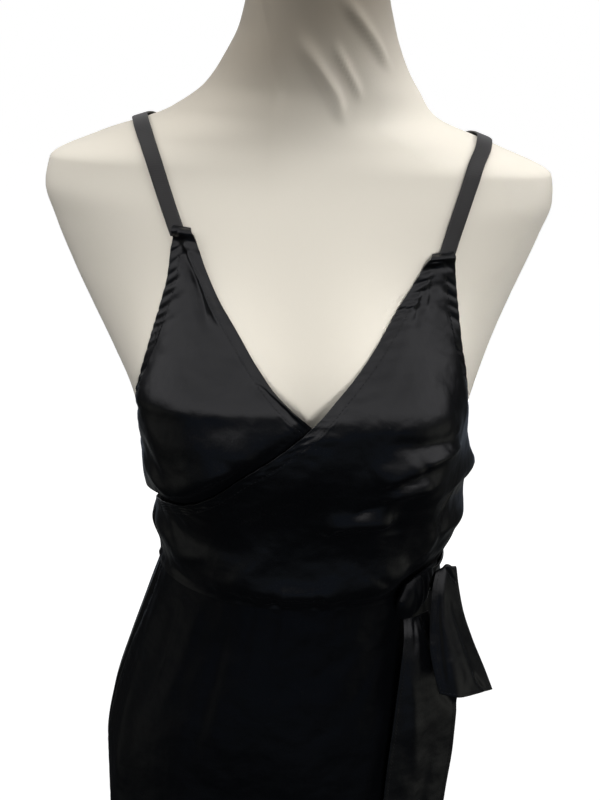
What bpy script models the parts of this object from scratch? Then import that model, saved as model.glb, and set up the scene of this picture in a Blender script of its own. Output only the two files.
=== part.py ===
"""Wrap dress with narrow straps on a limbless dress form with a round stand.

Metres, +Z up. The origin is the centre of the stand's underside. The dress faces -Y and its
wearer's left is at +X. Angles run round the form in degrees: 0 is the wearer's left, -90 the
front, 180 the wearer's right and 90 the back. Heights in the tables are above the waist seam.
"""
import math

import bmesh
import bpy
from mathutils import Vector

# Heights and walls
WAIST_HEIGHT = 1.050
HEM_DROP = 0.620
CLOTH = 0.0015
SEAM_GAP = 0.0003
LAYER_STEP = 0.0032
FOLD_ROOM = 0.0024
SIDE_LAP = 1.2
LAP_TURN = 1.2
SHOW_START = 0.012
SHOW_END = 0.032
SHOW_TURN = (-74, -90)
ROOM_TURN = (-100, -80)
PUFF_DEPTH = 0.0065
PUFF_SPREAD = 0.018
PUFF_FRONT = (-92, -112)
PUFF_SIDE = (-179, -160)
SEAM_SETTLE = 0.020
SEAM_FADE = 6
BAND = 0.0024
STRAP_WIDTH = 0.012
STRAP_THICK = 0.0012
STRAP_LIFT = 0.0017
STRAP_BACK_LIFT = {"strap_right": 0.0002, "strap_left": 0.0022}
STRAP_LIFT_SPAN = (0.88, 0.97)

# Stand
BASE_RADIUS = 0.180
BASE_THICK = 0.006
BASE_EDGE = 0.002
BOSS_SLOPE = 0.001
BOSS_RISE = 0.022
BOSS_FOOT = 0.034
BOSS_TOP = 0.026
POLE_RADIUS = 0.016
COLLAR_RADIUS = 0.034
COLLAR_SLEEVE = 0.022
COLLAR_FLANGE = 0.006
COLLAR_HEIGHT = 0.040
PLATE_THICK = 0.010
PLATE_INSET = 0.90
FORM_BOTTOM = -0.280
NECK_TOP = 0.505
CAP_THICK = 0.008
CAP_OVERHANG = 1.04

# Sections of the form: height, half width, front and back depth, squareness, sideways shift
FORM_SECTIONS = (
    (0.505, 0.0526, 0.062, 0.044, 2.0, 0.0040),
    (0.480, 0.0530, 0.059, 0.052, 2.0, 0.0020),
    (0.450, 0.0589, 0.056, 0.060, 2.0, 0.0025),
    (0.425, 0.0696, 0.055, 0.068, 2.0, 0.0010),
    (0.405, 0.0823, 0.055, 0.074, 2.0, 0.0000),
    (0.385, 0.1041, 0.057, 0.080, 2.0, -0.0061),
    (0.365, 0.1568, 0.060, 0.086, 2.2, -0.0084),
    (0.345, 0.1976, 0.065, 0.090, 2.5, -0.0066),
    (0.325, 0.2007, 0.071, 0.094, 2.5, -0.0073),
    (0.300, 0.1936, 0.079, 0.098, 2.4, -0.0075),
    (0.265, 0.1804, 0.089, 0.103, 2.3, -0.0072),
    (0.235, 0.1678, 0.096, 0.106, 2.3, -0.0059),
    (0.200, 0.1534, 0.102, 0.106, 2.3, -0.0030),
    (0.165, 0.1408, 0.105, 0.103, 2.3, 0.0001),
    (0.130, 0.1335, 0.104, 0.097, 2.2, 0.001),
    (0.100, 0.1275, 0.101, 0.091, 2.2, 0.002),
    (0.050, 0.1140, 0.089, 0.082, 2.1, 0.003),
    (0.010, 0.1120, 0.085, 0.079, 2.1, 0.003),
    (-0.040, 0.1190, 0.088, 0.086, 2.1, 0.000),
    (-0.090, 0.1355, 0.095, 0.099, 2.1, -0.004),
    (-0.140, 0.1460, 0.095, 0.111, 2.2, -0.007),
    (-0.190, 0.1520, 0.092, 0.118, 2.2, -0.010),
    (-0.235, 0.1525, 0.087, 0.118, 2.2, -0.010),
    (-0.280, 0.1470, 0.079, 0.107, 2.2, -0.010),
)
FORM_RING_HEIGHTS = (-0.280, -0.240, -0.200, -0.160, -0.120, -0.080, -0.040, 0.000, 0.040, 0.080,
                     0.110, 0.135, 0.160, 0.185, 0.210, 0.240, 0.270, 0.300, 0.320, 0.338,
                     0.350, 0.362, 0.373, 0.383, 0.393, 0.404, 0.418, 0.435, 0.460, 0.505)
FORM_COLUMNS = 44

# Fullness of the chest, the same on both sides
BUST_HEIGHT = 0.165
BUST_ANGLE = 33
BUST_SPREAD = 24
BUST_DEPTH = 0.042
BUST_ABOVE = 0.070
BUST_BELOW = 0.042
CLOTH_BELOW = 0.085
BRIDGE_HEIGHT = 0.150
BRIDGE_DEPTH = 0.016
BRIDGE_SPREAD = 17
BRIDGE_RISE = 0.070

# Cloth's distance from the form: height, front, wearer's left, wearer's right, back
BODICE_EASE = (
    (0.320, 0.0074, 0.0074, 0.0074, 0.0060),
    (0.270, 0.0066, 0.0062, 0.0062, 0.0055),
    (0.200, 0.0076, 0.0055, 0.0052, 0.0050),
    (0.160, 0.0086, 0.0070, 0.0066, 0.0050),
    (0.130, 0.0090, 0.0155, 0.0054, 0.0060),
    (0.112, 0.0096, 0.0220, 0.0050, 0.0063),
    (0.100, 0.0102, 0.0164, 0.0053, 0.0065),
    (0.088, 0.0118, 0.0184, 0.0062, 0.0067),
    (0.075, 0.0160, 0.0226, 0.0080, 0.0071),
    (0.060, 0.0205, 0.0270, 0.0092, 0.0075),
    (0.040, 0.0250, 0.0240, 0.0150, 0.0105),
    (0.026, 0.0268, 0.0185, 0.0118, 0.0120),
    (0.017, 0.0248, 0.0150, 0.0098, 0.0115),
    (0.010, 0.0200, 0.0130, 0.0092, 0.0100),
    (0.004, 0.0150, 0.0118, 0.0090, 0.0085),
    (0.000, 0.0135, 0.0115, 0.0090, 0.0080),
)
# Sections of the skirt: height, half width, front and back depth, squareness, sideways shift
SKIRT_SECTIONS = (
    (0.000, 0.1224, 0.0983, 0.0872, 2.1, 0.0042),
    (-0.040, 0.1312, 0.0995, 0.0940, 2.1, -0.001),
    (-0.090, 0.1440, 0.1040, 0.1080, 2.1, -0.005),
    (-0.140, 0.1560, 0.1055, 0.1200, 2.2, -0.008),
    (-0.190, 0.1620, 0.1050, 0.1270, 2.2, -0.010),
    (-0.240, 0.1620, 0.1060, 0.1270, 2.2, -0.010),
    (-0.320, 0.1625, 0.1090, 0.1270, 2.2, -0.009),
    (-0.450, 0.1720, 0.1190, 0.1330, 2.2, -0.006),
    (-0.620, 0.1880, 0.1370, 0.1470, 2.2, -0.002),
)
# Soft waves of the skirt: waves all round, turn in degrees, share of the depth
SKIRT_WAVES = (
    (5, 40, 0.45),
    (9, 110, 0.35),
    (13, 15, 0.20),
)
WAVE_START = -0.100
WAVE_DEPTH = 0.016

# Blouson roll over the waist seam: angle, added depth
ROLL_SWELL = (
    (-180, 0.000),
    (-137, 0.000),
    (-112, 0.003),
    (-90, 0.000),
    (-68, 0.003),
    (-52, 0.007),
    (-38, 0.003),
    (-20, 0.000),
    (180, 0.000),
)
ROLL_HEIGHT = 0.026
ROLL_SPREAD = 0.020

# Folds and creases of the fronts: from angle and height, to angle and height, half width, rise
FRONT_FOLDS = (
    (-66, 0.158, -47, 0.156, 0.0100, 0.0045),
    (-47, 0.156, -28, 0.131, 0.0095, 0.0045),
    (-60, 0.134, -46, 0.138, 0.0080, -0.0024),
    (-46, 0.138, -30, 0.112, 0.0080, -0.0024),
    (-71, 0.104, -60, 0.118, 0.0080, -0.0022),
    (-84, 0.086, -66, 0.093, 0.0090, 0.0022),
    (-8, 0.080, -30, 0.092, 0.0080, -0.0020),
    (-8, 0.056, -34, 0.066, 0.0080, 0.0024),
    (-172, 0.050, -146, 0.052, 0.0110, 0.0030),
    (-150, 0.024, -128, 0.046, 0.0080, 0.0020),
    (-112, 0.034, -100, 0.062, 0.0090, 0.0018),
)
CUP_FOLDS = (
    (-135, 0.280, -129, 0.258, 0.0060, -0.0018),
    (-129, 0.258, -119, 0.240, 0.0060, -0.0020),
    (-131, 0.284, -123, 0.256, 0.0060, 0.0018),
    (-103, 0.200, -93, 0.178, 0.0060, -0.0012),
    (-150, 0.122, -128, 0.108, 0.0090, 0.0035),
    (-128, 0.108, -108, 0.142, 0.0090, 0.0035),
)
BACK_FOLDS = (
    (10, 0.080, 48, 0.092, 0.0070, -0.0020),
    (172, 0.074, 128, 0.090, 0.0070, -0.0022),
    (60, 0.034, 78, 0.066, 0.0070, -0.0020),
    (118, 0.030, 104, 0.060, 0.0070, -0.0018),
    (14, 0.046, 44, 0.056, 0.0080, 0.0018),
)
MEAN_RADIUS = 0.125

# Hollow of the blouson behind the knot
DIMPLE_ANGLE = -38
DIMPLE_SPREAD = 14
DIMPLE_HEIGHT = 0.010
DIMPLE_RISE = 0.022
DIMPLE_DEPTH = 0.010

# Edges of the fronts: station from waist to strap, angle, height
LEFT_SIDE = (
    (0.00, 0.0, 0.000),
    (0.10, 0.0, 0.017),
    (0.20, 0.0, 0.040),
    (0.33, 0.0, 0.064),
    (0.43, 0.0, 0.088),
    (0.50, -5.0, 0.101),
    (0.56, -13.0, 0.124),
    (0.62, -21.8, 0.156),
    (0.70, -30.0, 0.192),
    (0.80, -32.6, 0.230),
    (0.90, -32.4, 0.265),
    (1.00, -32.2, 0.295),
)
OVER_EDGE = (
    (0.00, -174.0, 0.000),
    (0.10, -175.0, 0.017),
    (0.20, -176.0, 0.036),
    (0.30, -177.0, 0.055),
    (0.36, -167.0, 0.064),
    (0.43, -149.0, 0.077),
    (0.49, -131.5, 0.0915),
    (0.54, -118.5, 0.108),
    (0.60, -107.0, 0.131),
    (0.65, -97.5, 0.149),
    (0.71, -86.0, 0.174),
    (0.76, -77.9, 0.195),
    (0.82, -66.4, 0.222),
    (0.88, -55.0, 0.248),
    (0.94, -45.0, 0.271),
    (1.00, -37.6, 0.293),
)
RIGHT_SIDE = (
    (0.00, -180.0, 0.000),
    (0.10, -180.0, 0.017),
    (0.20, -180.0, 0.040),
    (0.33, -180.0, 0.075),
    (0.43, -180.0, 0.108),
    (0.50, -170.0, 0.118),
    (0.56, -158.0, 0.138),
    (0.62, -146.5, 0.164),
    (0.69, -140.6, 0.190),
    (0.80, -138.4, 0.228),
    (0.90, -137.7, 0.264),
    (1.00, -139.8, 0.307),
)
UNDER_EDGE = (
    (0.00, -6.0, 0.000),
    (0.10, -5.0, 0.017),
    (0.20, -5.0, 0.040),
    (0.30, -5.0, 0.062),
    (0.36, -15.0, 0.073),
    (0.43, -32.0, 0.084),
    (0.49, -47.0, 0.098),
    (0.54, -61.0, 0.117),
    (0.60, -75.0, 0.145),
    (0.65, -85.0, 0.172),
    (0.71, -93.0, 0.190),
    (0.77, -101.5, 0.212),
    (0.83, -109.5, 0.235),
    (0.89, -118.5, 0.258),
    (0.95, -127.5, 0.283),
    (1.00, -134.4, 0.306),
)
# Top edge of the back: angle, height
BACK_TOP = (
    (0, 0.086),
    (30, 0.096),
    (62, 0.116),
    (90, 0.112),
    (118, 0.122),
    (150, 0.108),
    (180, 0.108),
)
# Stations of the rows, closer over the waist seam and where the crossing edge runs
UNDER_ROWS = (0, 0.03, 0.06, 0.09, 0.12, 0.16, 0.21, 0.28, 0.36, 0.43, 0.50,
               0.57, 0.64, 0.72, 0.80, 0.88, 0.95, 1)
OVER_ROWS = (0, 0.03, 0.06, 0.09, 0.12, 0.16, 0.21, 0.27, 0.315, 0.345, 0.38, 0.415, 0.45,
             0.48, 0.51, 0.54, 0.58, 0.63, 0.68, 0.73, 0.79, 0.86, 0.93, 1)
BACK_ROWS = (0, 0.06, 0.13, 0.20, 0.30, 0.45, 0.65, 0.85, 1)
SKIRT_ROWS = (0, 0.03, 0.07, 0.14, 0.22, 0.31, 0.40, 0.50, 0.62, 0.74, 0.87, 1)
OVER_SKIRT_EDGE = -170
UNDER_SKIRT_RISE = (-174.5, -171.5)
UNDER_SKIRT_EDGE = -8

# Straps in polar steps round the shoulder: turn from the front, distance from the middle
STRAP_RIGHT = (
    (21, -0.0915),
    (37, -0.1000),
    (52, -0.1100),
    (62, -0.1180),
    (77, -0.1280),
    (92, -0.1330),
    (112, -0.1300),
    (140, -0.1150),
    (180, -0.0900),
    (210, -0.0720),
    (238, -0.0580),
)
STRAP_LEFT = (
    (19, 0.1030),
    (36, 0.1095),
    (50, 0.1165),
    (60, 0.1225),
    (74, 0.1310),
    (90, 0.1350),
    (112, 0.1310),
    (140, 0.1150),
    (180, 0.0900),
    (210, 0.0720),
    (238, 0.0580),
)
STRAP_CENTRE_HEIGHT = 0.260
STRAP_STEPS = 22

# Tie band round the back: angle, middle height, half height
TIE_BAND = (
    (168, 0.000, 0.0160),
    (120, 0.001, 0.0210),
    (60, 0.002, 0.0205),
    (20, 0.002, 0.0170),
    (0, 0.002, 0.0130),
    (-18, 0.004, 0.0110),
    (-26, 0.006, 0.0100),
)
BAND_SMOOTHING = 0.0045
# Knot: centre as angle and height, half sizes round, up and out
KNOT_ANGLE = -36
KNOT_HEIGHT = 0.009
KNOT_AROUND = 10.5
KNOT_RISE = 0.0235
KNOT_OUT = 0.0105
KNOT_CLEAR = 0.0005
# Hanging ends: left edge, fold line and right edge, each across, in depth and in height
SHORT_END = (
    (0.1204, -0.0604, 0.0040, 0.1250, -0.0602, 0.0030, 0.1310, -0.0570, 0.0020),
    (0.1204, -0.0634, 0.0180, 0.1250, -0.0648, 0.0200, 0.1340, -0.0590, 0.0170),
    (0.1212, -0.0700, 0.0290, 0.1250, -0.0740, 0.0320, 0.1352, -0.0640, 0.0262),
    (0.1210, -0.0770, 0.0150, 0.1240, -0.0830, 0.0190, 0.1379, -0.0660, 0.0125),
    (0.1180, -0.0830, -0.0086, 0.1250, -0.0900, -0.0030, 0.1441, -0.0640, -0.0124),
    (0.1168, -0.0890, -0.0317, 0.1308, -0.0950, -0.0273, 0.1552, -0.0600, -0.0438),
    (0.1210, -0.0950, -0.0606, 0.1386, -0.0990, -0.0571, 0.1699, -0.0570, -0.0763),
    (0.1261, -0.0970, -0.0747, 0.1427, -0.1000, -0.0768, 0.1790, -0.0560, -0.0961),
)
LONG_END = (
    (0.0930, -0.0830, -0.0139, 0.1020, -0.0790, -0.0139, 0.1150, -0.0670, -0.0139),
    (0.0935, -0.0900, -0.0300, 0.1060, -0.0870, -0.0300, 0.1235, -0.0680, -0.0300),
    (0.0920, -0.0955, -0.0600, 0.1090, -0.0920, -0.0600, 0.1370, -0.0675, -0.0600),
    (0.0895, -0.0995, -0.1050, 0.1110, -0.0930, -0.1050, 0.1475, -0.0645, -0.1050),
    (0.0870, -0.1015, -0.1500, 0.1090, -0.0930, -0.1500, 0.1480, -0.0635, -0.1500),
    (0.0855, -0.1025, -0.2050, 0.1070, -0.0930, -0.2050, 0.1445, -0.0655, -0.2050),
    (0.0840, -0.1050, -0.3000, 0.1060, -0.0960, -0.3000, 0.1410, -0.0690, -0.3000),
    (0.0850, -0.1105, -0.4200, 0.1080, -0.1010, -0.4200, 0.1430, -0.0755, -0.4200),
)
SHORT_FOLD = 0.34
LONG_FOLD = 0.36
FOLD_ROUND = 0.10
END_CLEAR = 0.0024


def read(table, at):
    """Columns of a table at a place in its first column, on a smooth curve that never overshoots."""
    rows = sorted(table)
    places = [row[0] for row in rows]
    last = len(rows) - 1
    if at <= places[0]:
        return rows[0][1:]
    if at >= places[-1]:
        return rows[-1][1:]
    low = max(index for index in range(last) if places[index] <= at)
    span = places[low + 1] - places[low]
    part = (at - places[low]) / span
    found = []
    for column in range(1, len(rows[0])):
        values = [row[column] for row in rows]

        def slope(index):
            before = max(index - 1, 0)
            after = min(index + 1, last)
            rise_in = (values[index] - values[before]) / max(places[index] - places[before], 1e-9)
            rise_out = (values[after] - values[index]) / max(places[after] - places[index], 1e-9)
            if index == 0:
                return rise_out
            if index == last:
                return rise_in
            if rise_in * rise_out <= 0:
                return 0.0
            return 2 * rise_in * rise_out / (rise_in + rise_out)

        start_slope = slope(low) * span
        end_slope = slope(low + 1) * span
        found.append((2 * part ** 3 - 3 * part ** 2 + 1) * values[low]
                     + (part ** 3 - 2 * part ** 2 + part) * start_slope
                     + (3 * part ** 2 - 2 * part ** 3) * values[low + 1]
                     + (part ** 3 - part ** 2) * end_slope)
    return tuple(found)


def smooth(value, start, end):
    """0 before start, 1 after end, and soft between."""
    part = min(max((value - start) / (end - start), 0.0), 1.0)
    return part * part * (3 - 2 * part)


def bump(distance, spread):
    """1 in the middle, falling softly to 0 past the spread."""
    return math.exp(-(distance / spread) ** 2)


def turn_apart(angle, other):
    """Smallest turn from one angle to another, in degrees."""
    return (angle - other + 180) % 360 - 180


def section_radius(section, angle):
    """Radius of a rounded section that has its own front and back depth."""
    half_width, front, back, squareness, _ = section
    turn = math.radians(angle)
    depth = front if math.sin(turn) < 0 else back
    across = abs(math.cos(turn)) / half_width
    along = abs(math.sin(turn)) / depth
    return (across ** squareness + along ** squareness) ** (-1 / squareness)


def fullness(angle, height, below):
    """How far the chest stands out of the plain section."""
    spread = BUST_ABOVE if height > BUST_HEIGHT else below
    upright = bump(height - BUST_HEIGHT, spread)
    sides = sum(bump(turn_apart(angle, -90 + side * BUST_ANGLE), BUST_SPREAD) for side in (-1, 1))
    return BUST_DEPTH * upright * sides


def form_radius(angle, height):
    section = read(FORM_SECTIONS, height)
    return section_radius(section, angle) + fullness(angle, height, BUST_BELOW)


def round_ease(row, angle):
    """Ease at an angle, blended from its front, left, right and back values."""
    front, left, right, back = row
    turn = math.radians(angle)
    side = left if math.cos(turn) > 0 else right
    end = front if math.sin(turn) < 0 else back
    return end * math.sin(turn) ** 2 + side * math.cos(turn) ** 2


def folds(table, angle, height):
    """Rise of the listed folds at a point: a soft ridge or trough along each line."""
    total = 0.0
    for from_angle, from_height, to_angle, to_height, half_width, rise in table:
        start_x = 0.0
        end_x = math.radians(turn_apart(to_angle, from_angle)) * MEAN_RADIUS
        point_x = math.radians(turn_apart(angle, from_angle)) * MEAN_RADIUS
        line_x = end_x - start_x
        line_y = to_height - from_height
        point_y = height - from_height
        length_squared = line_x ** 2 + line_y ** 2
        part = (point_x * line_x + point_y * line_y) / length_squared
        part = min(max(part, 0.0), 1.0)
        distance = math.hypot(point_x - part * line_x, point_y - part * line_y)
        total += rise * bump(distance, half_width)
    return total


def plain_bodice_radius(angle, height):
    """The bodice's filled shape before its folds."""
    section = read(FORM_SECTIONS, height)
    radius = section_radius(section, angle) + fullness(angle, height, CLOTH_BELOW)
    radius += BRIDGE_DEPTH * bump(turn_apart(angle, -90), BRIDGE_SPREAD) * bump(
        height - BRIDGE_HEIGHT, BRIDGE_RISE)
    radius += round_ease(read(BODICE_EASE, height), angle)
    seam = smooth(height, 0.0, SEAM_SETTLE)
    radius += seam * read(ROLL_SWELL, angle)[0] * bump(height - ROLL_HEIGHT, ROLL_SPREAD)
    radius -= seam * DIMPLE_DEPTH * bump(turn_apart(angle, DIMPLE_ANGLE), DIMPLE_SPREAD) * bump(
        height - DIMPLE_HEIGHT, DIMPLE_RISE)
    return radius


def bodice_radius(angle, height):
    """Outer side of the bodice's top layer."""
    table = BACK_FOLDS if 0 < angle < 180 else FRONT_FOLDS
    fade = smooth(height, 0.0, SEAM_SETTLE)
    for seam in (0, 180):
        fade *= smooth(abs(turn_apart(angle, seam)), 0, SEAM_FADE)
    return plain_bodice_radius(angle, height) + fade * folds(table, angle, height)


def over_edge_height(angle):
    """Height of the top layer's crossing edge at an angle."""
    return read(tuple((row[1], row[2]) for row in OVER_EDGE if row[0] >= 0.30), angle)[0]


def shown_share(angle, height):
    """1 where the under layer shows, 0 where it lies under the top one."""
    above = height - over_edge_height(angle)
    shown = smooth(above, SHOW_START, SHOW_END) * smooth(angle, *SHOW_TURN)
    side = abs(turn_apart(angle, 180))
    return max(shown, 1 - smooth(side, SIDE_LAP, SIDE_LAP + LAP_TURN))


def under_radius(angle, height):
    """The under front's own form, with the puff that hangs over the crossing edge."""
    above = height - over_edge_height(angle)
    puff = PUFF_DEPTH * bump(above - SHOW_END, PUFF_SPREAD)
    puff *= smooth(angle, *PUFF_FRONT) * smooth(angle, *PUFF_SIDE)
    own = puff + folds(CUP_FOLDS, angle, height)
    return plain_bodice_radius(angle, height) + shown_share(angle, height) * own


def under_inset(angle, height):
    """How far the under front lies inside the top one."""
    room = FOLD_ROOM * smooth(angle, *ROOM_TURN) * smooth(height, 0.0, 1.5 * SEAM_SETTLE)
    return (LAYER_STEP + room) * (1 - shown_share(angle, height))


def skirt_radius(angle, height):
    """Outer side of the skirt's top layer."""
    section = read(SKIRT_SECTIONS, height)
    radius = section_radius(section, angle)
    growth = max(WAVE_START - height, 0) / (HEM_DROP + WAVE_START)
    wave = sum(share * math.sin(math.radians(count * angle + turn))
               for count, turn, share in SKIRT_WAVES)
    return radius + WAVE_DEPTH * growth ** 1.3 * wave


def under_skirt_inset(angle, height):
    """How far the under skirt lies inside the over one, up to where it shows at the side."""
    return LAYER_STEP * smooth(angle, *UNDER_SKIRT_RISE)


def no_inset(angle, height):
    return 0.0


def place(radius_rule, inset_rule, sections, angle, height, inward):
    """Point of a radial surface, moved in along the surface's own normal."""
    def at(turned, raised):
        sideways = read(sections, raised)[-1]
        radius = radius_rule(turned, raised)
        turn = math.radians(turned)
        return Vector((sideways + radius * math.cos(turn), radius * math.sin(turn),
                       WAIST_HEIGHT + raised))

    point = at(angle, height)
    depth = inward + inset_rule(angle, height)
    if depth == 0:
        return point
    around = at(angle + 0.6, height) - at(angle - 0.6, height)
    upward = at(angle, height + 0.0012) - at(angle, height - 0.0012)
    normal = around.cross(upward).normalized()
    return point - normal * depth


def finish_mesh(name, mesh_builder, colour, roughness, metallic=0.0):
    """An object of one closed body with its own material."""
    bmesh.ops.recalc_face_normals(mesh_builder, faces=mesh_builder.faces)
    if mesh_builder.calc_volume(signed=True) < 0:
        bmesh.ops.reverse_faces(mesh_builder, faces=mesh_builder.faces)
    mesh = bpy.data.meshes.new(name)
    mesh_builder.to_mesh(mesh)
    mesh_builder.free()
    mesh.shade_smooth()
    mesh.set_sharp_from_angle(angle=math.radians(40))
    material = bpy.data.materials.new(name + "_finish")
    material.use_nodes = True
    shader = material.node_tree.nodes["Principled BSDF"]
    shader.inputs["Base Color"].default_value = (*colour, 1)
    shader.inputs["Roughness"].default_value = roughness
    shader.inputs["Metallic"].default_value = metallic
    mesh.materials.append(material)
    piece = bpy.data.objects.new(name, mesh)
    bpy.context.scene.collection.objects.link(piece)
    return piece


def wall(name, columns, rows, point, thickness=CLOTH, colour=(0.016, 0.017, 0.020)):
    """A wall of cloth over a grid: point(u, v, inward) gives both of its sides."""
    builder = bmesh.new()
    sides = []
    for inward in (0.0, thickness):
        sides.append([[builder.verts.new(point(u, v, inward)) for u in columns] for v in rows])
    outer, inner = sides
    for row in range(len(rows) - 1):
        for column in range(len(columns) - 1):
            for side in sides:
                builder.faces.new((side[row][column], side[row][column + 1],
                                   side[row + 1][column + 1], side[row + 1][column]))
    rim = [(row, 0) for row in range(len(rows))]
    rim += [(len(rows) - 1, column) for column in range(1, len(columns))]
    rim += [(row, len(columns) - 1) for row in range(len(rows) - 2, -1, -1)]
    rim += [(0, column) for column in range(len(columns) - 2, 0, -1)]
    for (row, column), (next_row, next_column) in zip(rim, rim[1:] + rim[:1]):
        builder.faces.new((outer[row][column], outer[next_row][next_column],
                           inner[next_row][next_column], inner[row][column]))
    return finish_mesh(name, builder, colour, 0.42)


def evenly(count):
    return [index / count for index in range(count + 1)]


def closed_rings(name, rings, colour, roughness, metallic=0.0):
    """A solid lofted through rings of equal count, closed by a flat face at each end."""
    builder = bmesh.new()
    loops = [[builder.verts.new(point) for point in ring] for ring in rings]
    for low, high in zip(loops, loops[1:]):
        for index in range(len(low)):
            after = (index + 1) % len(low)
            builder.faces.new((low[index], low[after], high[after], high[index]))
    builder.faces.new(loops[0])
    builder.faces.new(loops[-1])
    return finish_mesh(name, builder, colour, roughness, metallic)


def form_ring(height, scale=1.0, level=None):
    """A ring of the form's outline, scaled about its middle and set at a level."""
    sideways = read(FORM_SECTIONS, height)[-1]
    ring = []
    for index in range(FORM_COLUMNS):
        angle = 360 * index / FORM_COLUMNS
        radius = form_radius(turn_apart(angle, 0), height) * scale
        turn = math.radians(angle)
        ring.append(Vector((sideways + radius * math.cos(turn), radius * math.sin(turn),
                            WAIST_HEIGHT + (height if level is None else level))))
    return ring


def make_form():
    """Torso, neck cap and the plate that closes the underside."""
    cream = (0.80, 0.78, 0.73)
    closed_rings("form_torso", [form_ring(height) for height in FORM_RING_HEIGHTS], cream, 0.65)
    cap = [form_ring(NECK_TOP, CAP_OVERHANG, NECK_TOP + SEAM_GAP),
           form_ring(NECK_TOP, CAP_OVERHANG, NECK_TOP + SEAM_GAP + CAP_THICK * 0.6),
           form_ring(NECK_TOP, 0.90, NECK_TOP + SEAM_GAP + CAP_THICK)]
    closed_rings("form_neck_cap", cap, cream, 0.5)
    top = FORM_BOTTOM - SEAM_GAP
    plate = [form_ring(FORM_BOTTOM, PLATE_INSET, top),
             form_ring(FORM_BOTTOM, PLATE_INSET, top - PLATE_THICK)]
    closed_rings("form_base_plate", plate, (0.10, 0.09, 0.08), 0.5)


def turned(name, profile, sides, colour, roughness, metallic):
    """A turned solid from a short profile of radius and height, bottom first."""
    rings = []
    for radius, height in profile:
        rings.append([Vector((radius * math.cos(2 * math.pi * index / sides),
                              radius * math.sin(2 * math.pi * index / sides), height))
                      for index in range(sides)])
    closed_rings(name, rings, colour, roughness, metallic)


def make_stand():
    """Round base, pole and the collar that takes the form's weight."""
    grey = (0.62, 0.62, 0.60)
    plate_bottom = WAIST_HEIGHT + FORM_BOTTOM - SEAM_GAP - PLATE_THICK
    collar_top = plate_bottom - SEAM_GAP
    collar_bottom = collar_top - COLLAR_HEIGHT
    boss_top = BASE_THICK + BOSS_RISE
    turned("stand_base", ((BASE_RADIUS, 0), (BASE_RADIUS, BASE_THICK - BASE_EDGE),
                          (BASE_RADIUS - BASE_EDGE, BASE_THICK),
                          (BOSS_FOOT, BASE_THICK + BOSS_SLOPE), (BOSS_TOP, boss_top)),
           48, grey, 0.35, 1.0)
    turned("stand_pole", ((POLE_RADIUS, boss_top + SEAM_GAP),
                          (POLE_RADIUS, collar_bottom - SEAM_GAP)), 24, grey, 0.25, 1.0)
    turned("stand_collar", ((COLLAR_SLEEVE, collar_bottom),
                            (COLLAR_SLEEVE, collar_top - 2 * COLLAR_FLANGE),
                            (COLLAR_RADIUS, collar_top - COLLAR_FLANGE),
                            (COLLAR_RADIUS, collar_top)), 24, grey, 0.35, 1.0)


def front_panel(name, edges, radius_rule, inset_rule, columns, rows):
    """A front from its side seam and armhole to its crossing edge and neckline."""
    side_edge, cross_edge = edges

    def point(u, v, inward):
        side_angle, side_height = read(side_edge, v)
        cross_angle, cross_height = read(cross_edge, v)
        angle = side_angle + (cross_angle - side_angle) * u
        height = side_height + (cross_height - side_height) * u + SEAM_GAP / 2
        if u == 0:
            angle += seam_turn(side_angle, cross_angle)
        return place(radius_rule, inset_rule, FORM_SECTIONS, angle, height, inward)

    wall(name, columns, rows, point)


def seam_turn(side_angle, other_angle):
    """Half the gap of a side seam as a turn towards the panel's own inside."""
    turn = math.degrees(SEAM_GAP / 2 / MEAN_RADIUS)
    return turn if other_angle > side_angle else -turn


def make_bodice():
    front_panel("bodice_front_left", (LEFT_SIDE, OVER_EDGE), bodice_radius, no_inset,
                evenly(27), OVER_ROWS)
    reach = 180 + UNDER_EDGE[0][1]
    columns = [0, SIDE_LAP / reach, (SIDE_LAP + LAP_TURN) / reach] + evenly(28)[1:]
    front_panel("bodice_front_right", (RIGHT_SIDE, UNDER_EDGE), under_radius, under_inset,
                columns, UNDER_ROWS)

    def back_point(u, v, inward):
        margin = seam_turn(0, 1)
        angle = margin + (180 - 2 * margin) * u
        height = SEAM_GAP / 2 + read(BACK_TOP, angle)[0] * v
        return place(bodice_radius, no_inset, FORM_SECTIONS, angle, height, inward)

    wall("bodice_back", evenly(26), BACK_ROWS, back_point)


def make_skirt():
    margin = seam_turn(0, 1)

    def panel(name, start, end, inset_rule, columns):
        def point(u, v, inward):
            angle = start + (end - start) * u
            height = -SEAM_GAP / 2 - (HEM_DROP - SEAM_GAP / 2) * v
            return place(skirt_radius, inset_rule, SKIRT_SECTIONS, angle, height, inward)

        wall(name, columns, SKIRT_ROWS, point)

    panel("skirt_front_over", -margin, OVER_SKIRT_EDGE, no_inset, evenly(34))
    shown = 180 + UNDER_SKIRT_EDGE
    columns = [0] + [(180 + angle) / shown for angle in UNDER_SKIRT_RISE]
    columns += [part for part in evenly(30) if part > columns[-1]]
    panel("skirt_front_under", -180 + margin, UNDER_SKIRT_EDGE, under_skirt_inset, columns)
    panel("skirt_back", margin, 180 - margin, no_inset, evenly(32))


def built_radius(angle, height):
    """Radius of the built torso, straight between its rings."""
    above = next(ring for ring in FORM_RING_HEIGHTS if ring >= height)
    below = max((ring for ring in FORM_RING_HEIGHTS if ring < height), default=above)
    part = 0 if above == below else (height - below) / (above - below)
    return form_radius(angle, below) * (1 - part) + form_radius(angle, above) * part


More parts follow.
